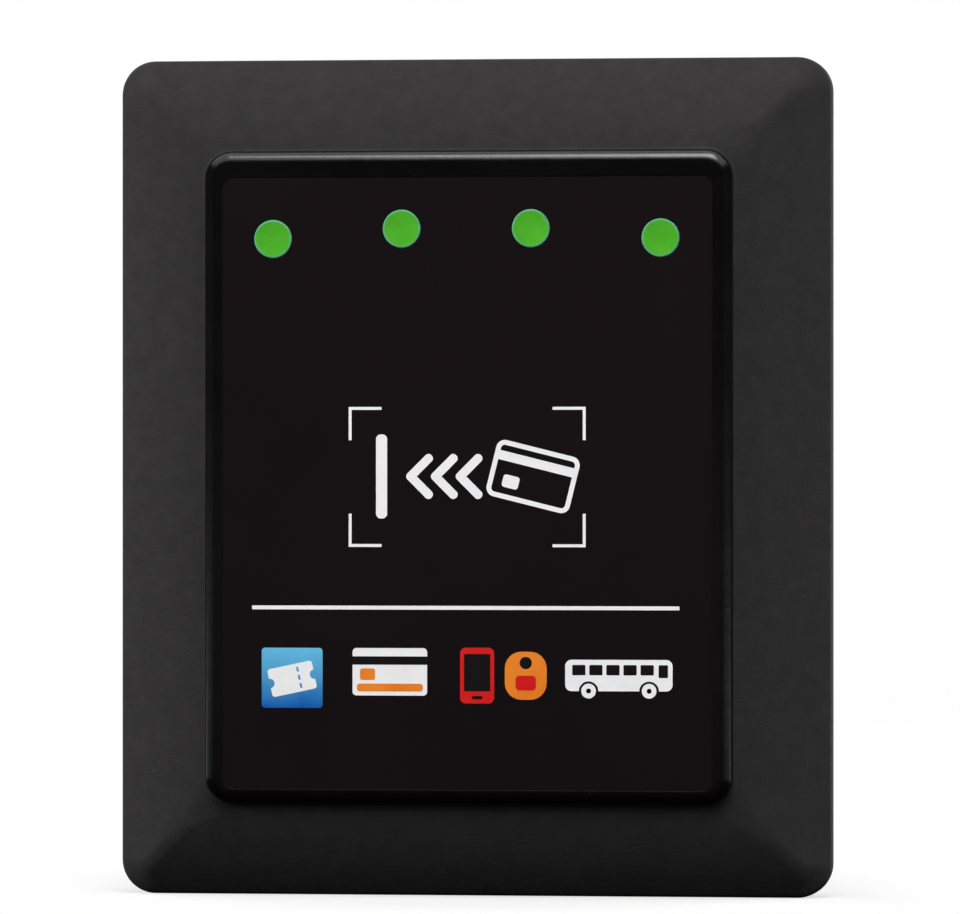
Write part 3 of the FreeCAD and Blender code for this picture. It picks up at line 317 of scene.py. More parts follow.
ink = dict(patch=400, roughness=(0.42, 0.5), specular=0.3, grain=6000, grainDepth=0.000003)
looks = {
    "bezelSatin": dict(dark=(0.0265, 0.0253, 0.0253), light=(0.0325, 0.0310, 0.0310), patch=600,
                       roughness=(0.56, 0.66), specular=0.04, grain=3800, grainDepth=0.00006,
                       swell=240, swellDepth=0.00003, wear=0.35, worn=(0.040, 0.038, 0.038),
                       specks=900, dust=(0.10, 0.10, 0.10)),
    "plateauSatin": dict(dark=(0.0018, 0.0018, 0.0020), light=(0.0030, 0.0029, 0.0031), patch=90,
                         roughness=(0.19, 0.25), specular=0.62, grain=1500, grainDepth=0.000009,
                         swell=500, swellDepth=0.000015, specks=1500, dust=(0.06, 0.06, 0.06)),
    "labelFilm": dict(dark=(0.0078, 0.0052, 0.0062), light=(0.0090, 0.0062, 0.0072), patch=40,
                      roughness=(0.34, 0.40), specular=0.12, grain=5200, grainDepth=0.000003,
                      swell=160, swellDepth=0.00001, specks=500, dust=(0.03, 0.03, 0.03)),
    "inkWhite": dict(ink, dark=(0.89, 0.89, 0.90), light=(0.94, 0.94, 0.94)),
    "inkBlack": dict(ink, dark=(0.006, 0.005, 0.006), light=(0.009, 0.007, 0.008), specular=0.25),
    "inkOrange": dict(ink, dark=(0.80, 0.19, 0.015), light=(0.90, 0.27, 0.03), patch=300),
    "inkRed": dict(ink, dark=(0.62, 0.010, 0.012), light=(0.72, 0.018, 0.016), patch=300),
    "zincSteel": dict(dark=(0.47, 0.47, 0.46), light=(0.66, 0.66, 0.63), patch=500, metallic=1,
                      roughness=(0.24, 0.42), grain=3000, grainDepth=0.000006,
                      wear=0.5, worn=(0.78, 0.78, 0.76)),
    "housingPlastic": dict(dark=(0.012, 0.012, 0.0125), light=(0.019, 0.0185, 0.019), patch=70,
                           roughness=(0.46, 0.58), specular=0.4, grain=3600, grainDepth=0.00002,
                           swell=180, swellDepth=0.00003, wear=0.4, worn=(0.035, 0.034, 0.035),
                           specks=800, dust=(0.08, 0.08, 0.08)),
    "gasketFoam": dict(dark=(0.016, 0.016, 0.0165), light=(0.042, 0.041, 0.042), patch=2600,
                       roughness=(0.8, 0.95), specular=0.25, grain=2200, grainDepth=0.00012,
                       swell=600, swellDepth=0.00005),
    "connectorPlastic": dict(dark=(0.014, 0.014, 0.016), light=(0.022, 0.022, 0.024), patch=200,
                             roughness=(0.36, 0.48), specular=0.5, grain=2500, grainDepth=0.000012,
                             wear=0.3, worn=(0.05, 0.05, 0.05)),
    "goldPlate": dict(dark=(0.72, 0.49, 0.18), light=(0.88, 0.64, 0.27), patch=800, metallic=1,
                      roughness=(0.18, 0.32), grain=4000, grainDepth=0.000004),
    "sealRubber": dict(dark=(0.013, 0.013, 0.013), light=(0.024, 0.023, 0.022), patch=260,
                       roughness=(0.6, 0.75), specular=0.35, grain=2600, grainDepth=0.00002,
                       wear=0.4, worn=(0.05, 0.05, 0.05)),
    "innerPlastic": dict(dark=(0.018, 0.018, 0.018), light=(0.034, 0.034, 0.034), patch=200,
                         roughness=(0.45, 0.6), grain=2500, grainDepth=0.00002),
    "circuitBoard": dict(dark=(0.008, 0.075, 0.030), light=(0.016, 0.13, 0.050), patch=240,
                         roughness=(0.25, 0.4), grain=1800, grainDepth=0.00001),
    "coilCopper": dict(dark=(0.58, 0.27, 0.13), light=(0.80, 0.44, 0.24), patch=600, metallic=1,
                       roughness=(0.25, 0.45), grain=3000, grainDepth=0.00001),
    "ferriteGrey": dict(dark=(0.04, 0.04, 0.043), light=(0.085, 0.085, 0.09), patch=300,
                        roughness=(0.6, 0.8), grain=1500, grainDepth=0.00004),
    "tinnedSteel": dict(dark=(0.55, 0.55, 0.54), light=(0.76, 0.76, 0.74), patch=240, metallic=1,
                        roughness=(0.2, 0.4), grain=1800, grainDepth=0.00001),
    "chipResin": dict(dark=(0.016, 0.016, 0.017), light=(0.030, 0.030, 0.031), patch=500,
                      roughness=(0.5, 0.65), grain=5000, grainDepth=0.00002),
    "capacitorCan": dict(dark=(0.60, 0.61, 0.62), light=(0.80, 0.81, 0.82), patch=400, metallic=1,
                         roughness=(0.25, 0.4), grain=2500, grainDepth=0.00001),
    "cardPlastic": dict(dark=(0.74, 0.75, 0.77), light=(0.84, 0.85, 0.86), patch=150,
                        roughness=(0.3, 0.42), grain=2500, grainDepth=0.000008),
    "tapeFilm": dict(dark=(0.62, 0.62, 0.58), light=(0.76, 0.76, 0.72), patch=180,
                     roughness=(0.5, 0.7), grain=1600, grainDepth=0.00001),
    "ledWhite": dict(dark=(0.76, 0.74, 0.66), light=(0.88, 0.86, 0.80), patch=900,
                     roughness=(0.2, 0.35), grain=4000, grainDepth=0.000005),
}
finishes = {name: makeFinish(name, look) for name, look in looks.items()}
finishes["lensGreen"] = makeGlow("lensGreen", dict(
    dark=(0.053, 0.31, 0.0155), light=(0.065, 0.355, 0.0215), patch=700, strength=0.24,
    specular=0.25, roughness=(0.32, 0.42), grain=2500, grainDepth=0.000004))
finishes["lensRim"] = makeGlow("lensRim", dict(
    dark=(0.075, 0.34, 0.13), light=(0.12, 0.42, 0.22), patch=900, strength=0.1,
    specular=0.4, roughness=(0.25, 0.35), grain=2500, grainDepth=0.000004))
finishes["inkBlue"] = makeTileBlue("inkBlue", dict(
    ink, top=-17.4, bottom=-23.6, light=(0.14, 0.54, 0.82), deep=(0.001, 0.095, 0.42), patch=260))
print("finishes made:", len(finishes))

# the finish that each of the record's material slots gets on the pieces kept from the model
slotFinish = {
    "bezel_plastic": "bezelSatin", "label_film": "labelFilm", "tape": "tapeFilm",
    "light_green": "lensGreen", "led_white": "ledWhite", "inner_plastic": "innerPlastic",
    "circuit_board": "circuitBoard", "copper": "coilCopper", "ferrite": "ferriteGrey",
    "zinc_steel": "zincSteel", "tinned_steel": "tinnedSteel", "chip_resin": "chipResin",
    "capacitor_can": "capacitorCan", "card_plastic": "cardPlastic",
    "connector_plastic": "connectorPlastic", "gold_plate": "goldPlate",
    "seal_rubber": "sealRubber", "housing_plastic": "housingPlastic", "gasket_foam": "gasketFoam",
}
slotOf = {item["node"]: item["material_slot"] for item in frame["record"]["subparts"]}
for node, slotName in slotOf.items():
    shape = bpy.data.objects.get(node)
    if shape is None:
        raise RuntimeError("no object for " + node)
    for place in shape.material_slots:
        place.material = finishes[slotFinish[slotName]]

# front bezel; the lights' lenses set its windows

bezel = dict(
    corner=3.5, edgeHeight=2.7, edgeRound=0.9, edgeSteps=6, bottomRound=0.2, bottomSteps=3,
    crownRadius=22, crownOuter=40, crownInner=12, slopeSteps=26,
    hipCorner=1.1, hipStart=0.3, hipEnd=0.68,
    plateauCorner=2.8, plateauRound=1.4, roundSteps=12, footRound=0.35, footSteps=4,
    glossFrom=0.8, glossSlack=0.02, filmSlack=0.001,
    labelGap=0.03, labelDrop=-0.6, recessDepth=0.35, recessCorner=1.2, lipRound=0.03,
    wallThickness=2.2, rebateGap=0.2, rebateCorner=6, cavityCorner=2, sealWidth=1.4,
    windowGap=0.05)
lens = dict(radius=1.95, stem=1.5, collar=2.6, collarDepth=0.8, edge=0.1, edgeSoft=0.3,
            rim=0.2, rimBack=0.2, dish=0.01, dishSlope=0.05)
bezelSize = sizeOf("front_bezel")
bezelBack, faceLevel = levelsOf("front_bezel")
labelSize = sizeOf("graphic_overlay")
housingSize = sizeOf("rear_housing")
sealSize = sizeOf("housing_seal")
landLevel = levelsOf("rear_housing")[1]
lights = [middleOf(f"light_pipe_{number}") for number in range(1, 5)]


def crownInset(angle):  # how far the slope has come in from the outer wall
    outer = math.sin(math.radians(bezel["crownOuter"]))
    return bezel["crownRadius"] * (outer - math.sin(math.radians(angle)))


def crownRise(angle):  # how far it has risen from the outer wall
    outer = math.cos(math.radians(bezel["crownOuter"]))
    return bezel["crownRadius"] * (math.cos(math.radians(angle)) - outer)


crownLevel = bezelBack + bezel["edgeHeight"]
footLevel = crownLevel + crownRise(bezel["crownInner"])
plateauWidth = bezelSize[0] - 2 * crownInset(bezel["crownInner"])
plateauHeight = bezelSize[2] - 2 * crownInset(bezel["crownInner"])
recessLevel = faceLevel - bezel["recessDepth"]
recessWidth = labelSize[0] + 2 * bezel["labelGap"]
recessHeight = labelSize[2] + 2 * bezel["labelGap"]
wallLevel = faceLevel - bezel["wallThickness"]


def eased(value):
    value = min(max(value, 0), 1)
    return value * value * (3 - 2 * value)


def hipCorner(share, inner, outer):  # plan corner of the slope, tight where the hip line is crisp
    near = eased(share / bezel["hipStart"])
    far = eased((share - bezel["hipEnd"]) / (1 - bezel["hipEnd"]))
    middle = inner + (bezel["hipCorner"] - inner) * near
    return middle + (outer - middle) * far


def bezelProfile():  # (inset from the outer wall, level, plan corner) from the label's seat outwards
    wall = crownInset(bezel["crownInner"])
    corner = bezel["plateauCorner"]
    rise, foot, edge = bezel["plateauRound"], bezel["footRound"], bezel["edgeRound"]
    slant, steep = math.radians(bezel["crownInner"]), math.radians(bezel["crownOuter"])
    hollow = foot * (1 - math.sin(slant))  # how far the hollow at the foot reaches out
    outset = edge * (1 - math.sin(steep))  # and the outer round reaches in
    points = []
    for step in range(bezel["roundSteps"] + 1):  # the raised face's round
        tilt = math.radians(90 * step / bezel["roundSteps"])
        back = rise * (1 - math.sin(tilt))
        points.append((wall + back, faceLevel - rise * (1 - math.cos(tilt)), corner - back))
    middle = footLevel + hollow / math.cos(slant)
    for step in range(bezel["footSteps"] + 1):  # the small hollow at its foot
        sweep = (math.pi / 2 - slant) * step / bezel["footSteps"]
        out = foot * (1 - math.cos(sweep))
        points.append((wall - out, middle - foot * math.sin(sweep), corner + out))
    first = math.degrees(math.asin(math.sin(slant) + hollow / bezel["crownRadius"]))
    last = math.degrees(math.asin(math.sin(steep) - outset / bezel["crownRadius"]))
    for step in range(1, bezel["slopeSteps"]):  # the convex slope
        share = step / bezel["slopeSteps"]
        angle = first + (last - first) * share
        points.append((crownInset(angle), crownLevel + crownRise(angle),
                       hipCorner(share, corner + hollow, bezel["corner"] - outset)))
    middle = crownLevel - outset / math.cos(steep)
    for step in range(bezel["edgeSteps"] + 1):  # the round into the side wall
        tilt = steep + (math.pi / 2 - steep) * step / bezel["edgeSteps"]
        back = edge * (1 - math.sin(tilt))
        points.append((back, middle + edge * math.cos(tilt), bezel["corner"] - back))
    for step in range(bezel["bottomSteps"] + 1):  # the round against the gasket
        tilt = math.pi / 2 * step / bezel["bottomSteps"]
        back = bezel["bottomRound"] * (1 - math.cos(tilt))
        level = bezelBack + bezel["bottomRound"] * (1 - math.sin(tilt))
        points.append((back, level, bezel["corner"] - back))
    return points


def windowLoops(bm, level):  # one circle for each status light
    radius = lens["radius"] + bezel["windowGap"]
    return [circleLoop(bm, radius, level, x, z) for x, _, z in lights]


def within(point, width, height, z=0):
    return abs(point.x) < width / 2 and abs(point.z - z) < height / 2


def bezelCoat(face):  # 0 for the slopes, 1 for the glossier raised face, 2 for the label's recess, whose lip and walls take the label film's duller finish: painted shade that keeps the lip from catching a highlight
    middle = face.calc_center_median()
    level, lip, slack = -middle.y, bezel["lipRound"], bezel["glossSlack"]
    raised = (within(middle, plateauWidth + slack, plateauHeight + slack)
              and level > footLevel + bezel["glossFrom"] * bezel["footRound"])
    # painted shade: the recess's lip and walls get the label film's duller finish, so no highlight shows
    # along the lip
    shadedRecess = (within(middle, recessWidth + 2 * lip, recessHeight + 2 * lip, bezel["labelDrop"])
                and level < faceLevel - bezel["filmSlack"])
    if raised and shadedRecess:
        return 2
    return 1 if raised else 0


def makeFrontBezel():
    bm = bmesh.new()
    lip, seatCorner = bezel["lipRound"], bezel["recessCorner"]
    rings = [
        ring(recessWidth, recessHeight, seatCorner, recessLevel, z=bezel["labelDrop"]),
        ring(recessWidth, recessHeight, seatCorner, faceLevel - lip, z=bezel["labelDrop"]),
        ring(recessWidth + 2 * lip, recessHeight + 2 * lip, seatCorner + lip, faceLevel,
             z=bezel["labelDrop"]),
    ]
    rings += [ring(bezelSize[0] - 2 * inset, bezelSize[2] - 2 * inset, corner, level)
              for inset, level, corner in bezelProfile()]
    rebate = (housingSize[0] + 2 * bezel["rebateGap"], housingSize[2] + 2 * bezel["rebateGap"],
              bezel["rebateCorner"])
    sealRoom = 2 * bezel["sealWidth"]
    cavity = (sealSize[0] - sealRoom, sealSize[2] - sealRoom, bezel["cavityCorner"])
    rings += [ring(*rebate, bezelBack), ring(*rebate, landLevel),
              ring(*cavity, landLevel), ring(*cavity, wallLevel)]
    loops = loopStack(bm, rings, steps=12)
    outer, inner = windowLoops(bm, recessLevel), windowLoops(bm, wallLevel)
    fillFlat(bm, loops[0], *outer)
    fillFlat(bm, loops[-1], *inner)
    for front, back in zip(outer, inner):
        bridged(bm, front, back)
    for face in bm.faces:
        face.material_index = bezelCoat(face)
    finishPiece(bm, "bezel_moulding", ["bezelSatin", "plateauSatin", "labelFilm"],
                nodes=["front_bezel"], crease=40)


makeFrontBezel()
print("front bezel made")

# label, its print and the status lights

label = dict(corner=1.1, printRoom=0.03, inkRises=(0, 0.01, 0.018, 0.024),
             leastCorner=0.02, roundFrom=0.05, roundSteps=8)
filmLevel = faceLevel - label["printRoom"]


def makeLabelFilm():
    bm = bmesh.new()
    back = levelsOf("graphic_overlay")[0]
    middle = middleOf("graphic_overlay")
    outline = startLoop(bm, ring(labelSize[0], labelSize[2], label["corner"], back, z=middle[2]))
    thicken(bm, fillFlat(bm, outline, *windowLoops(bm, back)), filmLevel - back)
    finishPiece(bm, "label_sheet", ["labelFilm"], nodes=["graphic_overlay"])


# Print of the label: a rule, a sign for holding a card to the reader, and a
# row of signs for what it takes. Layers are printed one over the other.
inks = ["inkWhite", "inkBlack", "inkOrange", "inkRed", "inkBlue"]
white, black, orange, red, blue = range(5)
rule = dict(x=-0.1, z=-13.3, width=44, height=0.4)
tapSign = dict(
    left=-12.1, right=12.3, low=-7.1, high=7.2, bracket=3.4, line=0.3, middle=0.1,
    reader=dict(x=-8.7, width=1.15, height=8.6, corner=0.5),
    chevrons=(-5.7, -3.15, -0.6), chevronArm=3.5, chevronLine=0.9, chevronCorner=0.42)


def disc(size, **more):  # a patch whose corners meet
    return dict(width=size, height=size, corner=size / 2, **more)


# Each sign has a middle, and its patches of ink are placed and tilted about it.
heldCard = dict(x=6.9, z=0.1, patches=[
    dict(width=8.8, height=5.9, corner=0.9, tilt=14, line=0.5),
    dict(width=8.6, height=0.95, up=1.35, layer=1, tilt=14),
    dict(width=1.7, height=1.3, right=-2.1, up=-1.1, corner=0.3, tilt=14)])
ticketSign = dict(x=-17.95, z=-20.6, patches=[
    dict(width=6.3, height=6.15, up=0.1, tone=blue, corner=0.35),
    dict(width=4.7, height=2.9, layer=1, corner=0.3, tilt=-12),
    *[disc(0.95, right=side * 4.7 / 2, layer=2, tone=blue, tilt=-12) for side in (-1, 1)],
    *[dict(width=0.22, height=0.5, right=0.75, up=step * 0.85, layer=2, tone=blue, tilt=-12)
      for step in (-1, 0, 1)]])
cardSign = dict(x=-7.85, z=-19.85, patches=[
    dict(width=7.7, height=4.85, corner=0.4),
    dict(width=7.7, height=0.85, up=1.15, layer=1, tone=black),
    dict(width=1.55, height=1.2, right=-2.3, up=-0.25, layer=1, tone=orange, corner=0.25),
    dict(width=6.8, height=0.8, up=-1.6, layer=1, tone=orange, corner=0.3)])
phoneSign = dict(x=1.15, z=-20.2, patches=[
    dict(width=3.5, height=5.7, tone=red, corner=0.6),
    dict(width=2.7, height=3.8, up=0.3, layer=1, tone=black, corner=0.12),
    dict(width=1.1, height=0.34, up=-2.25, layer=1, tone=black, corner=0.16)])
tagSign = dict(x=6.15, z=-20.2, patches=[
    dict(width=4.3, height=4.9, tone=orange, corner=1.7),
    dict(width=1.25, height=1.25, up=1.3, layer=1, tone=black, corner=0.61),
    dict(width=2.1, height=1.5, up=-0.75, layer=1, tone=red, corner=0.4)])
busSign = dict(x=15.7, z=-20.15, patches=[
    dict(width=11, height=3.2, corner=0.65),
    *[dict(width=1.35, height=1.05, right=-4.1 + step * 1.75, up=0.55, layer=1, tone=black,
           corner=0.12) for step in range(5)],
    dict(width=0.95, height=1.3, right=4.55, up=0.42, layer=1, tone=black, corner=0.12),
    *[patch for wheel in (-3.1, 3.1) for patch in (
        disc(2, right=wheel, up=-1.6, layer=1, tone=black),
        disc(1.5, right=wheel, up=-1.58, layer=2),
        disc(0.5, right=wheel, up=-1.58, layer=2, tone=black))]])


def inkLoop(bm, outline):  # a corner too small to see is a plain bevel
    small = outline["corner"] <= label["roundFrom"]
    return startLoop(bm, outline, steps=1 if small else label["roundSteps"])


def printPatch(bm, x, z, width, height, right=0, up=0, layer=0, tone=white, corner=0.0, tilt=0, line=0):
    # ink right of and above a sign's middle, tilted about it; a line makes the patch an outline
    before, least = set(bm.verts), label["leastCorner"]
    low, high = [filmLevel + rise for rise in label["inkRises"][layer:layer + 2]]
    corner = min(max(corner, least), (min(width, height) - least) / 2)
    loops = [inkLoop(bm, ring(width, height, corner, low, x + right, z + up))]
    if line:
        loops.append(inkLoop(bm, ring(width - 2 * line, height - 2 * line, max(corner - line, least),
                                      low, x + right, z + up)))
    thicken(bm, fillFlat(bm, *loops), high - low)
    made = [vert for vert in bm.verts if vert not in before]
    bmesh.ops.rotate(bm, cent=(x, 0, z), verts=made, matrix=Matrix.Rotation(math.radians(tilt), 3, "Y"))
    for face in {face for vert in made for face in vert.link_faces}:
        face.material_index = tone


def printTapSign(bm):
    bracket, line = tapSign["bracket"], tapSign["line"]
    for sideX, x in ((1, tapSign["left"]), (-1, tapSign["right"])):  # four corner brackets
        for sideZ, z in ((1, tapSign["low"]), (-1, tapSign["high"])):
            printPatch(bm, x + sideX * bracket / 2, z + sideZ * line / 2, bracket, line)
            printPatch(bm, x + sideX * line / 2, z + sideZ * (bracket + line) / 2, line, bracket - line)
    printPatch(bm, z=tapSign["middle"], **tapSign["reader"])
    arm, thick = tapSign["chevronArm"], tapSign["chevronLine"]
    reach = (arm - thick) / 2 * math.sqrt(0.5)
    for x in tapSign["chevrons"]:  # three straight chevrons that point at the reader
        for layer, side in enumerate((-1, 1)):
            printPatch(bm, x + reach, tapSign["middle"] + side * reach, arm, thick, layer=layer,
                       corner=tapSign["chevronCorner"], tilt=-side * 45)


def makeLabelPrint():
    bm = bmesh.new()
    printPatch(bm, **rule)
    printTapSign(bm)
    for sign in (heldCard, ticketSign, cardSign, phoneSign, tagSign, busSign):
        for patch in sign["patches"]:
            printPatch(bm, sign["x"], sign["z"], **patch)
    finishPiece(bm, "label_print", inks, merged=False)


def makeLights():
    radius, edge, soft = lens["radius"], lens["edge"], lens["edge"] * lens["edgeSoft"]
    flat = radius - lens["rim"]
    collarBack, dishLevel = wallLevel - lens["collarDepth"], faceLevel - lens["dish"]
    for number, (x, _, z) in enumerate(lights, start=1):
        bm = bmesh.new()
        back = levelsOf(f"light_pipe_{number}")[0]
        turnedShape(bm, [
            (0, back), (lens["stem"], back), (lens["stem"], collarBack), (lens["collar"], collarBack),
            (lens["collar"], wallLevel), (radius, wallLevel), (radius, faceLevel - edge),
            (radius - soft, faceLevel - soft), (radius - edge, faceLevel), (flat, faceLevel),
            (flat - lens["dishSlope"], dishLevel), (0, dishLevel)], x, z, steps=64)
        for face in bm.faces:  # the rim of the lens is paler
            middle = face.calc_center_median()
            onRim = (math.hypot(middle.x - x, middle.z - z) > flat
                     and -middle.y > wallLevel + lens["rimBack"])
            face.material_index = 1 if onRim else 0
        finishPiece(bm, f"status_light_{number}", ["lensGreen", "lensRim"],
                    nodes=[f"light_pipe_{number}"])


makeLabelFilm()
makeLabelPrint()
makeLights()
print("label and lights made")

# rear housing and gasket; the grommet sets the housing's opening, the studs the gasket's holes

housing = dict(tubWidth=50.4, tubHeight=62.8, corner=4, draft=1, wall=1.8, floor=2, rearRound=1.5,
               rearSteps=8, flangeCorner=5.8, openingCorner=1.2)
gasket = dict(corner=2.7, openingGap=0.6, hole=2.7)
grommet = dict(lip=1.0, neck=1.2, edgeRound=0.35, boreCorner=0.3)
studReach = dict(x=32, z=38)  # from the middle to a stud
studSpots = [(sideX * studReach["x"], sideZ * studReach["z"]) for sideX in (-1, 1) for sideZ in (-1, 1)]
connectorSize = sizeOf("host_connector")


def makeRearHousing():
    bm = bmesh.new()
    back = levelsOf("rear_housing")[0]
    slant = math.tan(math.radians(housing["draft"]))
    floorLevel = back + housing["floor"]
    wide, tall, corner, wall = (housing[key] for key in ("tubWidth", "tubHeight", "corner", "wall"))
    flange = (housingSize[0], housingSize[2], housing["flangeCorner"])
    inward = 2 * slant * (landLevel - floorLevel)
    rings = []
    for step in range(housing["rearSteps"] + 1):  # the round behind, into the drafted wall
        tilt = math.radians(90 * step / housing["rearSteps"])
        level = back + housing["rearRound"] * (1 - math.cos(tilt))
        inset = slant * (bezelBack - level) + housing["rearRound"] * (1 - math.sin(tilt))
        rings.append(ring(wide - 2 * inset, tall - 2 * inset, corner - inset, level))
    rings += [
        ring(wide, tall, corner, bezelBack),
        ring(*flange, bezelBack),
        ring(*flange, landLevel),
        ring(wide - 2 * wall, tall - 2 * wall, corner - wall, landLevel),
        ring(wide - 2 * wall - inward, tall - 2 * wall - inward, corner - wall - inward / 2, floorLevel),
    ]
    loops = loopStack(bm, rings, steps=12)
    room, z = 2 * grommet["neck"], middleOf("host_connector")[2]
    opening = (connectorSize[0] + room, connectorSize[2] + room, housing["openingCorner"])
    outer, inner = [startLoop(bm, ring(*opening, level, z=z), steps=6) for level in (back, floorLevel)]
    fillFlat(bm, loops[0], outer)
    fillFlat(bm, loops[-1], inner)
    bridged(bm, outer, inner)
    finishPiece(bm, "rear_tub", ["housingPlastic"], nodes=["rear_housing"],
                crease=30)


def makeGasket():
    bm = bmesh.new()
    width, _, height = sizeOf("panel_gasket")
    back, front = levelsOf("panel_gasket")
    gap = 2 * gasket["openingGap"]
    outline = startLoop(bm, ring(width, height, gasket["corner"], back))
    opening = startLoop(bm, ring(housing["tubWidth"] + gap, housing["tubHeight"] + gap,
                                 housing["corner"] + gap / 2, back))
    holes = [circleLoop(bm, gasket["hole"], back, x, z) for x, z in studSpots]
    thicken(bm, fillFlat(bm, outline, opening, *holes), front - back)
    finishPiece(bm, "foam_gasket", ["gasketFoam"], nodes=["panel_gasket"])


makeRearHousing()
makeGasket()
print("rear housing and gasket made")

# studs, nuts and washers; shares of the pitch give the thread's crest

stud = dict(radius=1.5, plainLevel=-1, shoulder=0.12, head=2.1, crest=1.47, root=1.2, pitch=0.5,
            crestShares=(0.42, 0.58), turnSteps=24, leadTurns=2, spareTurns=3, overlap=0.05,
            tipRadius=1.12, tipSlope=0.9)


def threadRod(bm, back):  # a turned thread, cut square where the shank starts and at its end
    pitch, start = stud["pitch"], -stud["plainLevel"]
    turns = math.ceil((stud["plainLevel"] - back) / pitch) + stud["spareTurns"]
    shares = (0, *stud["crestShares"], 1)
    radii = (stud["root"], stud["crest"], stud["crest"], stud["root"])
    first = start - stud["leadTurns"] * pitch
    chain = chainOf(bm, [(radius, first + share * pitch, 0) for radius, share in zip(radii, shares)])
    bmesh.ops.spin(bm, geom=chain, cent=(0, 0, 0), axis=(0, 1, 0), angle=2 * math.pi * turns,
                   steps=stud["turnSteps"] * turns, dvec=(0, pitch / stud["turnSteps"], 0),
                   use_merge=False)
    bmesh.ops.remove_doubles(bm, verts=bm.verts, dist=weld["thread"])
    for place, normal in ((start - stud["overlap"], (0, -1, 0)), (-back, (0, 1, 0))):
        cut = bmesh.ops.bisect_plane(bm, geom=everythingIn(bm), plane_co=(0, place, 0),
                                     plane_no=normal, clear_outer=True, dist=weld["cut"])["geom_cut"]
        rim = [item for item in cut if isinstance(item, bmesh.types.BMEdge)]
        bmesh.ops.triangle_fill(bm, use_beauty=True, use_dissolve=False, edges=rim, normal=(0, 1, 0))
    for vert in bm.verts:  # the pointed end
        limit = stud["tipRadius"] + max(0, -back - vert.co.y) * stud["tipSlope"]
        out = math.hypot(vert.co.x, vert.co.z)
        if out > limit:
            vert.co.x *= limit / out
            vert.co.z *= limit / out


def makeStuds():
    bm = bmesh.new()
    back, front = levelsOf("mounting_studs")
    threadRod(bm, back)
    radius, plain, shoulder = stud["radius"], stud["plainLevel"], stud["shoulder"]
    turnedShape(bm, [(0, plain), (radius - shoulder, plain), (radius, plain + shoulder),
                     (radius, bezelBack), (stud["head"], bezelBack), (stud["head"], front), (0, front)])
    x, z = studSpots[0]
    bmesh.ops.translate(bm, vec=(x, 0, z), verts=bm.verts)
    first = everythingIn(bm)
    for toX, toZ in studSpots[1:]:
        copy = bmesh.ops.duplicate(bm, geom=first)["geom"]
        bmesh.ops.translate(bm, vec=(toX - x, 0, toZ - z), verts=vertsIn(copy))
    finishPiece(bm, "threaded_studs", ["zincSteel"], nodes=["mounting_studs"],
                crease=38)


nut = dict(flats=5.5, bore=1.3875, sink=1.62, bevel=0.955, slope=0.5, collar=2, washerGap=0.05, steps=72)
washer = dict(inner=2.08, outer=3.5, root=2.75, teeth=10, stepsPerTooth=8, toothSteps=6,
              metal=0.62, twist=0.18, twistFrom=0.1)


def angleOf(vert):
    return math.atan2(vert.co.z, vert.co.x)


def circleOn(bm, loop, radius, level):  # carry a loop about the axis on to another circle
    verts, edges = carryOn(bm, loop)
    for vert in verts:
        angle = angleOf(vert)
        vert.co = (radius * math.cos(angle), -level, radius * math.sin(angle))
    return edges


def hexOn(bm, loop, level, lean):  # on to the six flats, with the corners on the chamfer's cone
    apothem = nut["flats"] / 2
    edges = circleOn(bm, loop, apothem, level)
    for vert in {vert for edge in edges for vert in edge.verts}:
        angle = angleOf(vert)
        across = (angle + math.pi) % math.radians(60) - math.radians(30)
        reach = apothem / math.cos(across)
        drop = max(0, reach - apothem * nut["bevel"]) * nut["slope"]
        vert.co = (reach * math.cos(angle), -(level + lean * drop), reach * math.sin(angle))
    return edges


def makeNut(number):
    bm = bmesh.new()
    x, _, z = middleOf(f"nut_{number}")
    back, front = levelsOf(f"nut_{number}")
    hexFront = levelsOf(f"washer_{number}")[0] - nut["washerGap"]
    flat = nut["flats"] / 2 * nut["bevel"]
    first = circleLoop(bm, nut["bore"], front, steps=nut["steps"])
    loop = circleOn(bm, first, nut["collar"], front)
    loop = circleOn(bm, loop, nut["collar"], hexFront)
    loop = circleOn(bm, loop, flat, hexFront)
    loop = hexOn(bm, loop, hexFront, -1)
    loop = hexOn(bm, loop, back, 1)
    loop = circleOn(bm, loop, flat, back)
    loop = circleOn(bm, loop, nut["sink"], back)
    loop = circleOn(bm, loop, nut["bore"], back + nut["sink"] - nut["bore"])
    bridged(bm, loop, first)
    bmesh.ops.translate(bm, vec=(x, 0, z), verts=bm.verts)
    finishPiece(bm, f"lock_nut_{number}", ["zincSteel"], body=f"nut_{number}",
                nodes=[f"nut_{number}"], crease=25)


def grownOn(bm, loop, radius, newRadius):  # carry a flat ring on outwards
    verts, edges = carryOn(bm, loop)
    bmesh.ops.scale(bm, vec=(newRadius / radius, 1, newRadius / radius), verts=verts)
    return edges


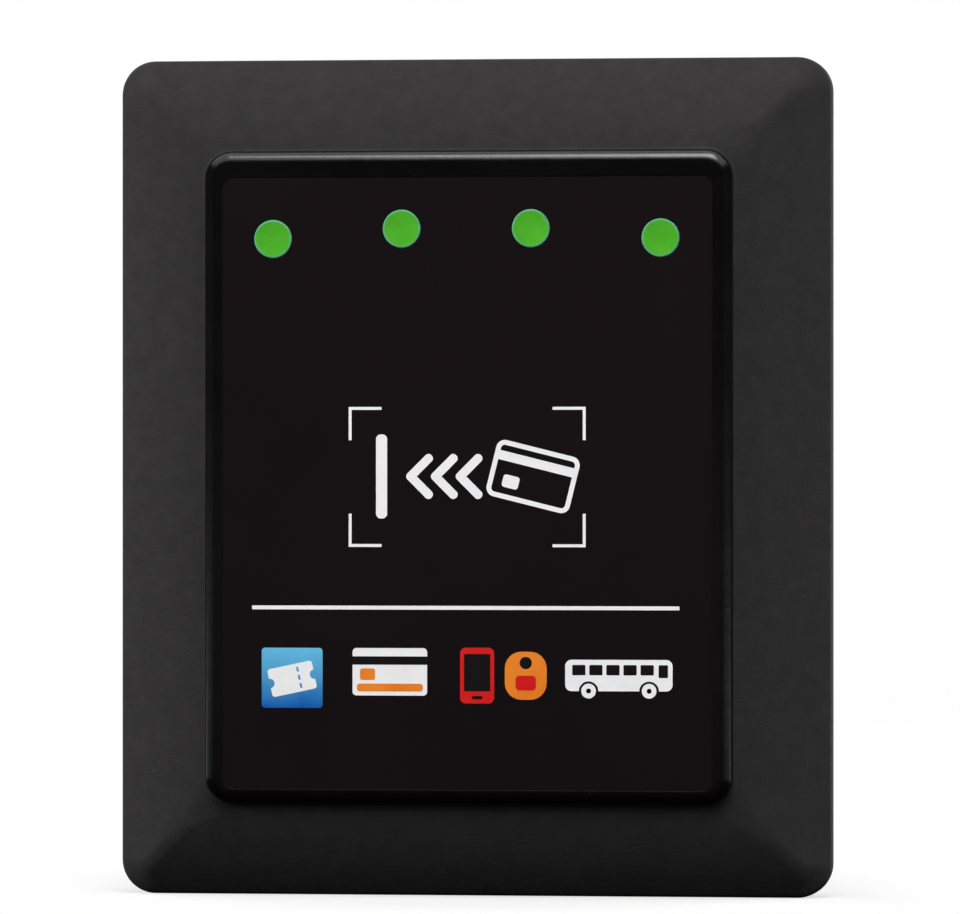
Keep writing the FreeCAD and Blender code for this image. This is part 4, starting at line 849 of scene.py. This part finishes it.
def makeWasher(number):
    bm = bmesh.new()
    x, _, z = middleOf(f"washer_{number}")
    back, front = levelsOf(f"washer_{number}")
    thick, count = front - back, washer["stepsPerTooth"]
    step = 2 * math.pi / (washer["teeth"] * count)

    def onTooth(edge):
        centre = (edge.verts[0].co + edge.verts[1].co) / 2
        turned = int((math.atan2(centre.z, centre.x) % (2 * math.pi)) / step)
        return turned % count < washer["toothSteps"]

    inside = circleLoop(bm, washer["inner"], back, steps=washer["teeth"] * count)
    roots = grownOn(bm, inside, washer["inner"], washer["root"])
    grownOn(bm, [edge for edge in roots if onTooth(edge)], washer["root"], washer["outer"])
    thicken(bm, list(bm.faces), thick * washer["metal"])
    bmesh.ops.translate(bm, vec=(0, -thick * (1 - washer["metal"]) / 2, 0), verts=bm.verts)
    half = washer["toothSteps"] / 2
    for vert in bm.verts:  # each tooth is twisted about its own radius
        if math.hypot(vert.co.x, vert.co.z) > washer["root"] + washer["twistFrom"]:
            across = (angleOf(vert) % (2 * math.pi) / step) % count - half
            vert.co.y += across / half * thick * washer["twist"]
    bmesh.ops.translate(bm, vec=(x, 0, z), verts=bm.verts)
    finishPiece(bm, f"tooth_washer_{number}", ["zincSteel"], body=f"washer_{number}",
                nodes=[f"washer_{number}"], crease=25)


makeStuds()
for number in range(1, 5):
    makeNut(number)
    makeWasher(number)
print("studs, nuts and washers made")

# host connector

connector = dict(wall=1.1, base=2.6, key=4.5, edgeRound=0.18, flatDot=0.999, sharpFrom=1)
pins = dict(columns=7, side=0.64, pitch=2.54, tipInset=0.18, tipLength=0.45)


def makeConnector():
    bm = bmesh.new()
    width, _, height = connectorSize
    x, _, z = middleOf("host_connector")
    back, front = levelsOf("host_connector")
    wall, key = connector["wall"], connector["key"]
    linesX = [-width / 2, -width / 2 + wall, -key / 2, key / 2, width / 2 - wall, width / 2]
    linesZ = [-height / 2, -height / 2 + wall, height / 2 - wall, height / 2]
    across, down = len(linesX) - 1, len(linesZ) - 1
    made = bmesh.ops.create_grid(bm, x_segments=across, y_segments=down, size=0.5)["verts"]
    for vert in made:  # lay the grid's lines on the walls and the key slot
        column, row = round((vert.co.x + 0.5) * across), round((vert.co.y + 0.5) * down)
        vert.co = (linesX[column], -front, linesZ[row])

    def overWall(face):  # neither over the hollow nor over the key slot
        middle = face.calc_center_median()
        inSlot = abs(middle.x) < key / 2 and middle.z > height / 2 - wall
        return not within(middle, width - 2 * wall, height - 2 * wall) and not inSlot

    base = thicken(bm, list(bm.faces), -connector["base"])
    rims = [item for item in base if isinstance(item, bmesh.types.BMFace) and overWall(item)]
    thicken(bm, rims, back - front + connector["base"])
    bmesh.ops.delete(bm, geom=rims, context="FACES_ONLY")
    flatEdges = [edge for edge in bm.edges if len(edge.link_faces) == 2 and
                 edge.link_faces[0].normal.dot(edge.link_faces[1].normal) > connector["flatDot"]]
    bmesh.ops.dissolve_edges(bm, edges=flatEdges, use_verts=True)
    bm.normal_update()
    sharp = [edge for edge in bm.edges if edge.calc_face_angle(0) > connector["sharpFrom"]]
    roundEdges(bm, sharp, connector["edgeRound"], steps=3)
    bmesh.ops.translate(bm, vec=(x, 0, z), verts=bm.verts)
    finishPiece(bm, "header_shroud", ["connectorPlastic"], nodes=["host_connector"])


def makePin(bm, x, z, back, front):  # a square pin with a tapered tip behind
    made = bmesh.ops.create_cube(bm, size=1)["verts"]
    bmesh.ops.scale(bm, vec=(pins["side"], front - back, pins["side"]), verts=made)
    bmesh.ops.translate(bm, vec=(x, -(front + back) / 2, z), verts=made)
    tip = [vert for vert in made if vert.co.y > -(front + back) / 2]
    face = [face for face in tip[0].link_faces if all(vert in tip for vert in face.verts)]
    bmesh.ops.inset_region(bm, faces=face, thickness=pins["tipInset"], depth=0)
    for vert in tip:
        vert.co.y -= pins["tipLength"]


def makePins():
    bm = bmesh.new()
    x, _, z = middleOf("connector_pins")
    for column in range(pins["columns"]):
        for row in (-0.5, 0.5):
            right = (column - (pins["columns"] - 1) / 2) * pins["pitch"]
            makePin(bm, x + right, z + row * pins["pitch"], *levelsOf("connector_pins"))
    finishPiece(bm, "header_pins", ["goldPlate"], nodes=["connector_pins"])


def makeGrommet():
    bm = bmesh.new()
    back, front = levelsOf("connector_seal")
    z = middleOf("connector_seal")[2]
    lip, neck = grommet["lip"], grommet["neck"]
    bore, neckRing, lipRing = [
        (connectorSize[0] + 2 * out, connectorSize[2] + 2 * out, corner)
        for out, corner in ((0, grommet["boreCorner"]), (neck, neck), (neck + lip, neck + lip))]
    stations = [(bore, back), (lipRing, back), (lipRing, back + lip), (neckRing, back + lip),
                (neckRing, front - lip), (lipRing, front - lip), (lipRing, front), (bore, front)]
    loops = loopStack(bm, [ring(*outline, level, z=z) for outline, level in stations], steps=8)
    bridged(bm, loops[0], loops[-1])
    roundEdges(bm, loops[1], grommet["edgeRound"], steps=4)
    finishPiece(bm, "rubber_grommet", ["sealRubber"], nodes=["connector_seal"],
                crease=40)


makeConnector()
makePins()
makeGrommet()
print("connector made")

# studio

studio = dict(
    cameraTurn=7.8, cameraDistance=0.822, lens=297.4, sensor=36, clip=(0.05, 20),
    aimRight=-0.00037, aimUp=0.002087, worldLevel=0.04, floorTone=0.02, floorRadius=0.9,
    floorFade=(0.25, 0.855), floorGlow=0.59, floorSeen=0.27, cardTone=0.002)
lamps = dict(
    key=dict(size=(0.48, 0.44), place=(0.105, -0.32, 0.75), level=6.5, glossy=True),
    frontPanel=dict(size=(0.5, 0.4), place=(0.05, -0.69, 0.575), level=5.5, glossy=False),
    leftPanel=dict(size=(0.9, 0.9), place=(-1.08, -0.26, 0.21), level=7.3, glossy=False),
    rightPanel=dict(size=(0.2, 0.2), place=(0.46, -0.13, 0.08), level=6.7, glossy=False),
    backLeft=dict(size=(0.6, 0.6), place=(-0.75, 0.60, 0.40), level=8, glossy=False),
    backRight=dict(size=(0.6, 0.6), place=(0.75, 0.60, 0.40), level=8, glossy=False),
)
# black cards that keep the glossy front dark; only its reflections see them
cards = dict(
    behindCamera=dict(size=(2.6, 1.5), place=(0, -1.38, 0.35), lean=90, turn=0),
    besideLeft=dict(size=(2.6, 1.2), place=(-1.3, -0.08, 0.30), lean=90, turn=-90),
    besideRight=dict(size=(2.6, 1.2), place=(1.3, -0.08, 0.30), lean=90, turn=90),
    onTheFloor=dict(size=(0.5, 0.45), place=(0, -0.20, cadBox[0][2] + 0.03 * mm), lean=0, turn=0),
)


def backgroundRays(kit):  # 1 for camera, glossy and transmission rays
    path = kit.nodes.new("ShaderNodeLightPath")
    source = path.outputs["Is Camera Ray"]
    for kind in ("Is Glossy Ray", "Is Transmission Ray"):
        source = kit.joined("MAXIMUM", source, path.outputs[kind])
    return source


def grey(tone):
    return (tone, tone, tone, 1)


def makeCamera():
    turn = math.radians(studio["cameraTurn"])
    away = Vector((math.sin(turn), -math.cos(turn), 0))
    right = Vector((math.cos(turn), math.sin(turn), 0))
    low, high = cadBox
    aim = (Vector(low) + Vector(high)) / 2 + right * studio["aimRight"] + Vector((0, 0, studio["aimUp"]))
    data = bpy.data.cameras.new("camera")
    data.lens, data.sensor_width = studio["lens"], studio["sensor"]
    data.clip_start, data.clip_end = studio["clip"]
    camera = bpy.data.objects.new("camera", data)
    camera.location = aim + away * studio["cameraDistance"]
    camera.rotation_euler = (-away).to_track_quat("-Z", "Y").to_euler()
    bpy.context.collection.objects.link(camera)
    bpy.context.scene.camera = camera


def makeLamps():
    for name, lamp in lamps.items():
        width, height = lamp["size"]
        data = bpy.data.lights.new(name, "AREA")
        data.shape = "RECTANGLE"
        data.size, data.size_y = width, height
        data.energy = lamp["level"] * math.pi * width * height
        place = Vector(lamp["place"])
        holder = bpy.data.objects.new(name, data)
        holder.location = place
        holder.rotation_euler = (-place).to_track_quat("-Z", "Y").to_euler()
        holder.visible_glossy = lamp["glossy"]  # the fill panels leave no hard reflection
        bpy.context.collection.objects.link(holder)


def makeCards():
    kit = materialKit("blackCard")
    kit.plug(kit.nodes["Principled BSDF"], {
        "Base Color": grey(studio["cardTone"]), "Roughness": 0.9, "Specular IOR Level": 0.05})
    for name, card in cards.items():
        bm = bmesh.new()
        made = bmesh.ops.create_grid(bm, x_segments=1, y_segments=1, size=0.5)["verts"]
        bmesh.ops.scale(bm, vec=(*card["size"], 1), verts=made)
        for axis, angle in (("X", card["lean"]), ("Z", card["turn"])):
            bmesh.ops.rotate(bm, verts=made, matrix=Matrix.Rotation(math.radians(angle), 3, axis))
        bmesh.ops.translate(bm, vec=card["place"], verts=made)
        panel = objectFrom(bm, name, [kit.owner])
        panel.visible_camera = panel.visible_diffuse = panel.visible_shadow = False
        panel.visible_transmission = False


def makeFloor():
    bm = bmesh.new()
    bmesh.ops.create_circle(bm, cap_ends=True, segments=96, radius=studio["floorRadius"])
    bmesh.ops.translate(bm, vec=(0, 0, cadBox[0][2]), verts=bm.verts)
    kit = materialKit("floorPaper")
    paper = kit.nodes["Principled BSDF"]
    kit.plug(paper, {"Base Color": grey(studio["floorTone"]), "Roughness": 0.9,
                     "Specular IOR Level": 0.1})
    # to the camera and in reflections the paper is part white of its own, part lit
    seen = kit.add("BsdfDiffuse", {"Color": grey(studio["floorSeen"])})
    glow = kit.add("Emission", {"Strength": studio["floorGlow"]})
    both = kit.add("AddShader", {0: seen, 1: glow})
    looked = kit.add("MixShader", {0: backgroundRays(kit), 1: paper.outputs[0], 2: both})
    fadeFrom, fadeTo = studio["floorFade"]  # and clear towards its edge
    distance = kit.add("VectorMath", {0: kit.place}, "Value", operation="LENGTH")
    fade = kit.add("MapRange", {"Value": distance, "From Min": fadeFrom, "From Max": fadeTo},
                   "Result", interpolation_type="SMOOTHSTEP")
    clear = kit.add("BsdfTransparent", {})
    kit.plug(kit.nodes["Material Output"],
             {"Surface": kit.add("MixShader", {0: fade, 1: looked, 2: clear})})
    objectFrom(bm, "studio_floor", [kit.owner])


def makeWorld():  # white where the camera, gloss and glass look, softer as light
    world = bpy.data.worlds.new("studioWorld")
    bpy.context.scene.world = world
    kit = NodeKit(world)
    sky = kit.nodes["Background"]
    kit.plug(sky, {"Color": grey(1), "Strength": studio["worldLevel"]})
    backdrop = kit.add("Background", {"Color": grey(1), "Strength": 1})
    mixed = kit.add("MixShader", {0: backgroundRays(kit), 1: sky.outputs[0], 2: backdrop})
    kit.plug(kit.nodes["World Output"], {"Surface": mixed})


makeCamera()
makeLamps()
makeCards()
makeFloor()
makeWorld()
bpy.context.scene.view_settings.view_transform = "Standard"
print("studio made")
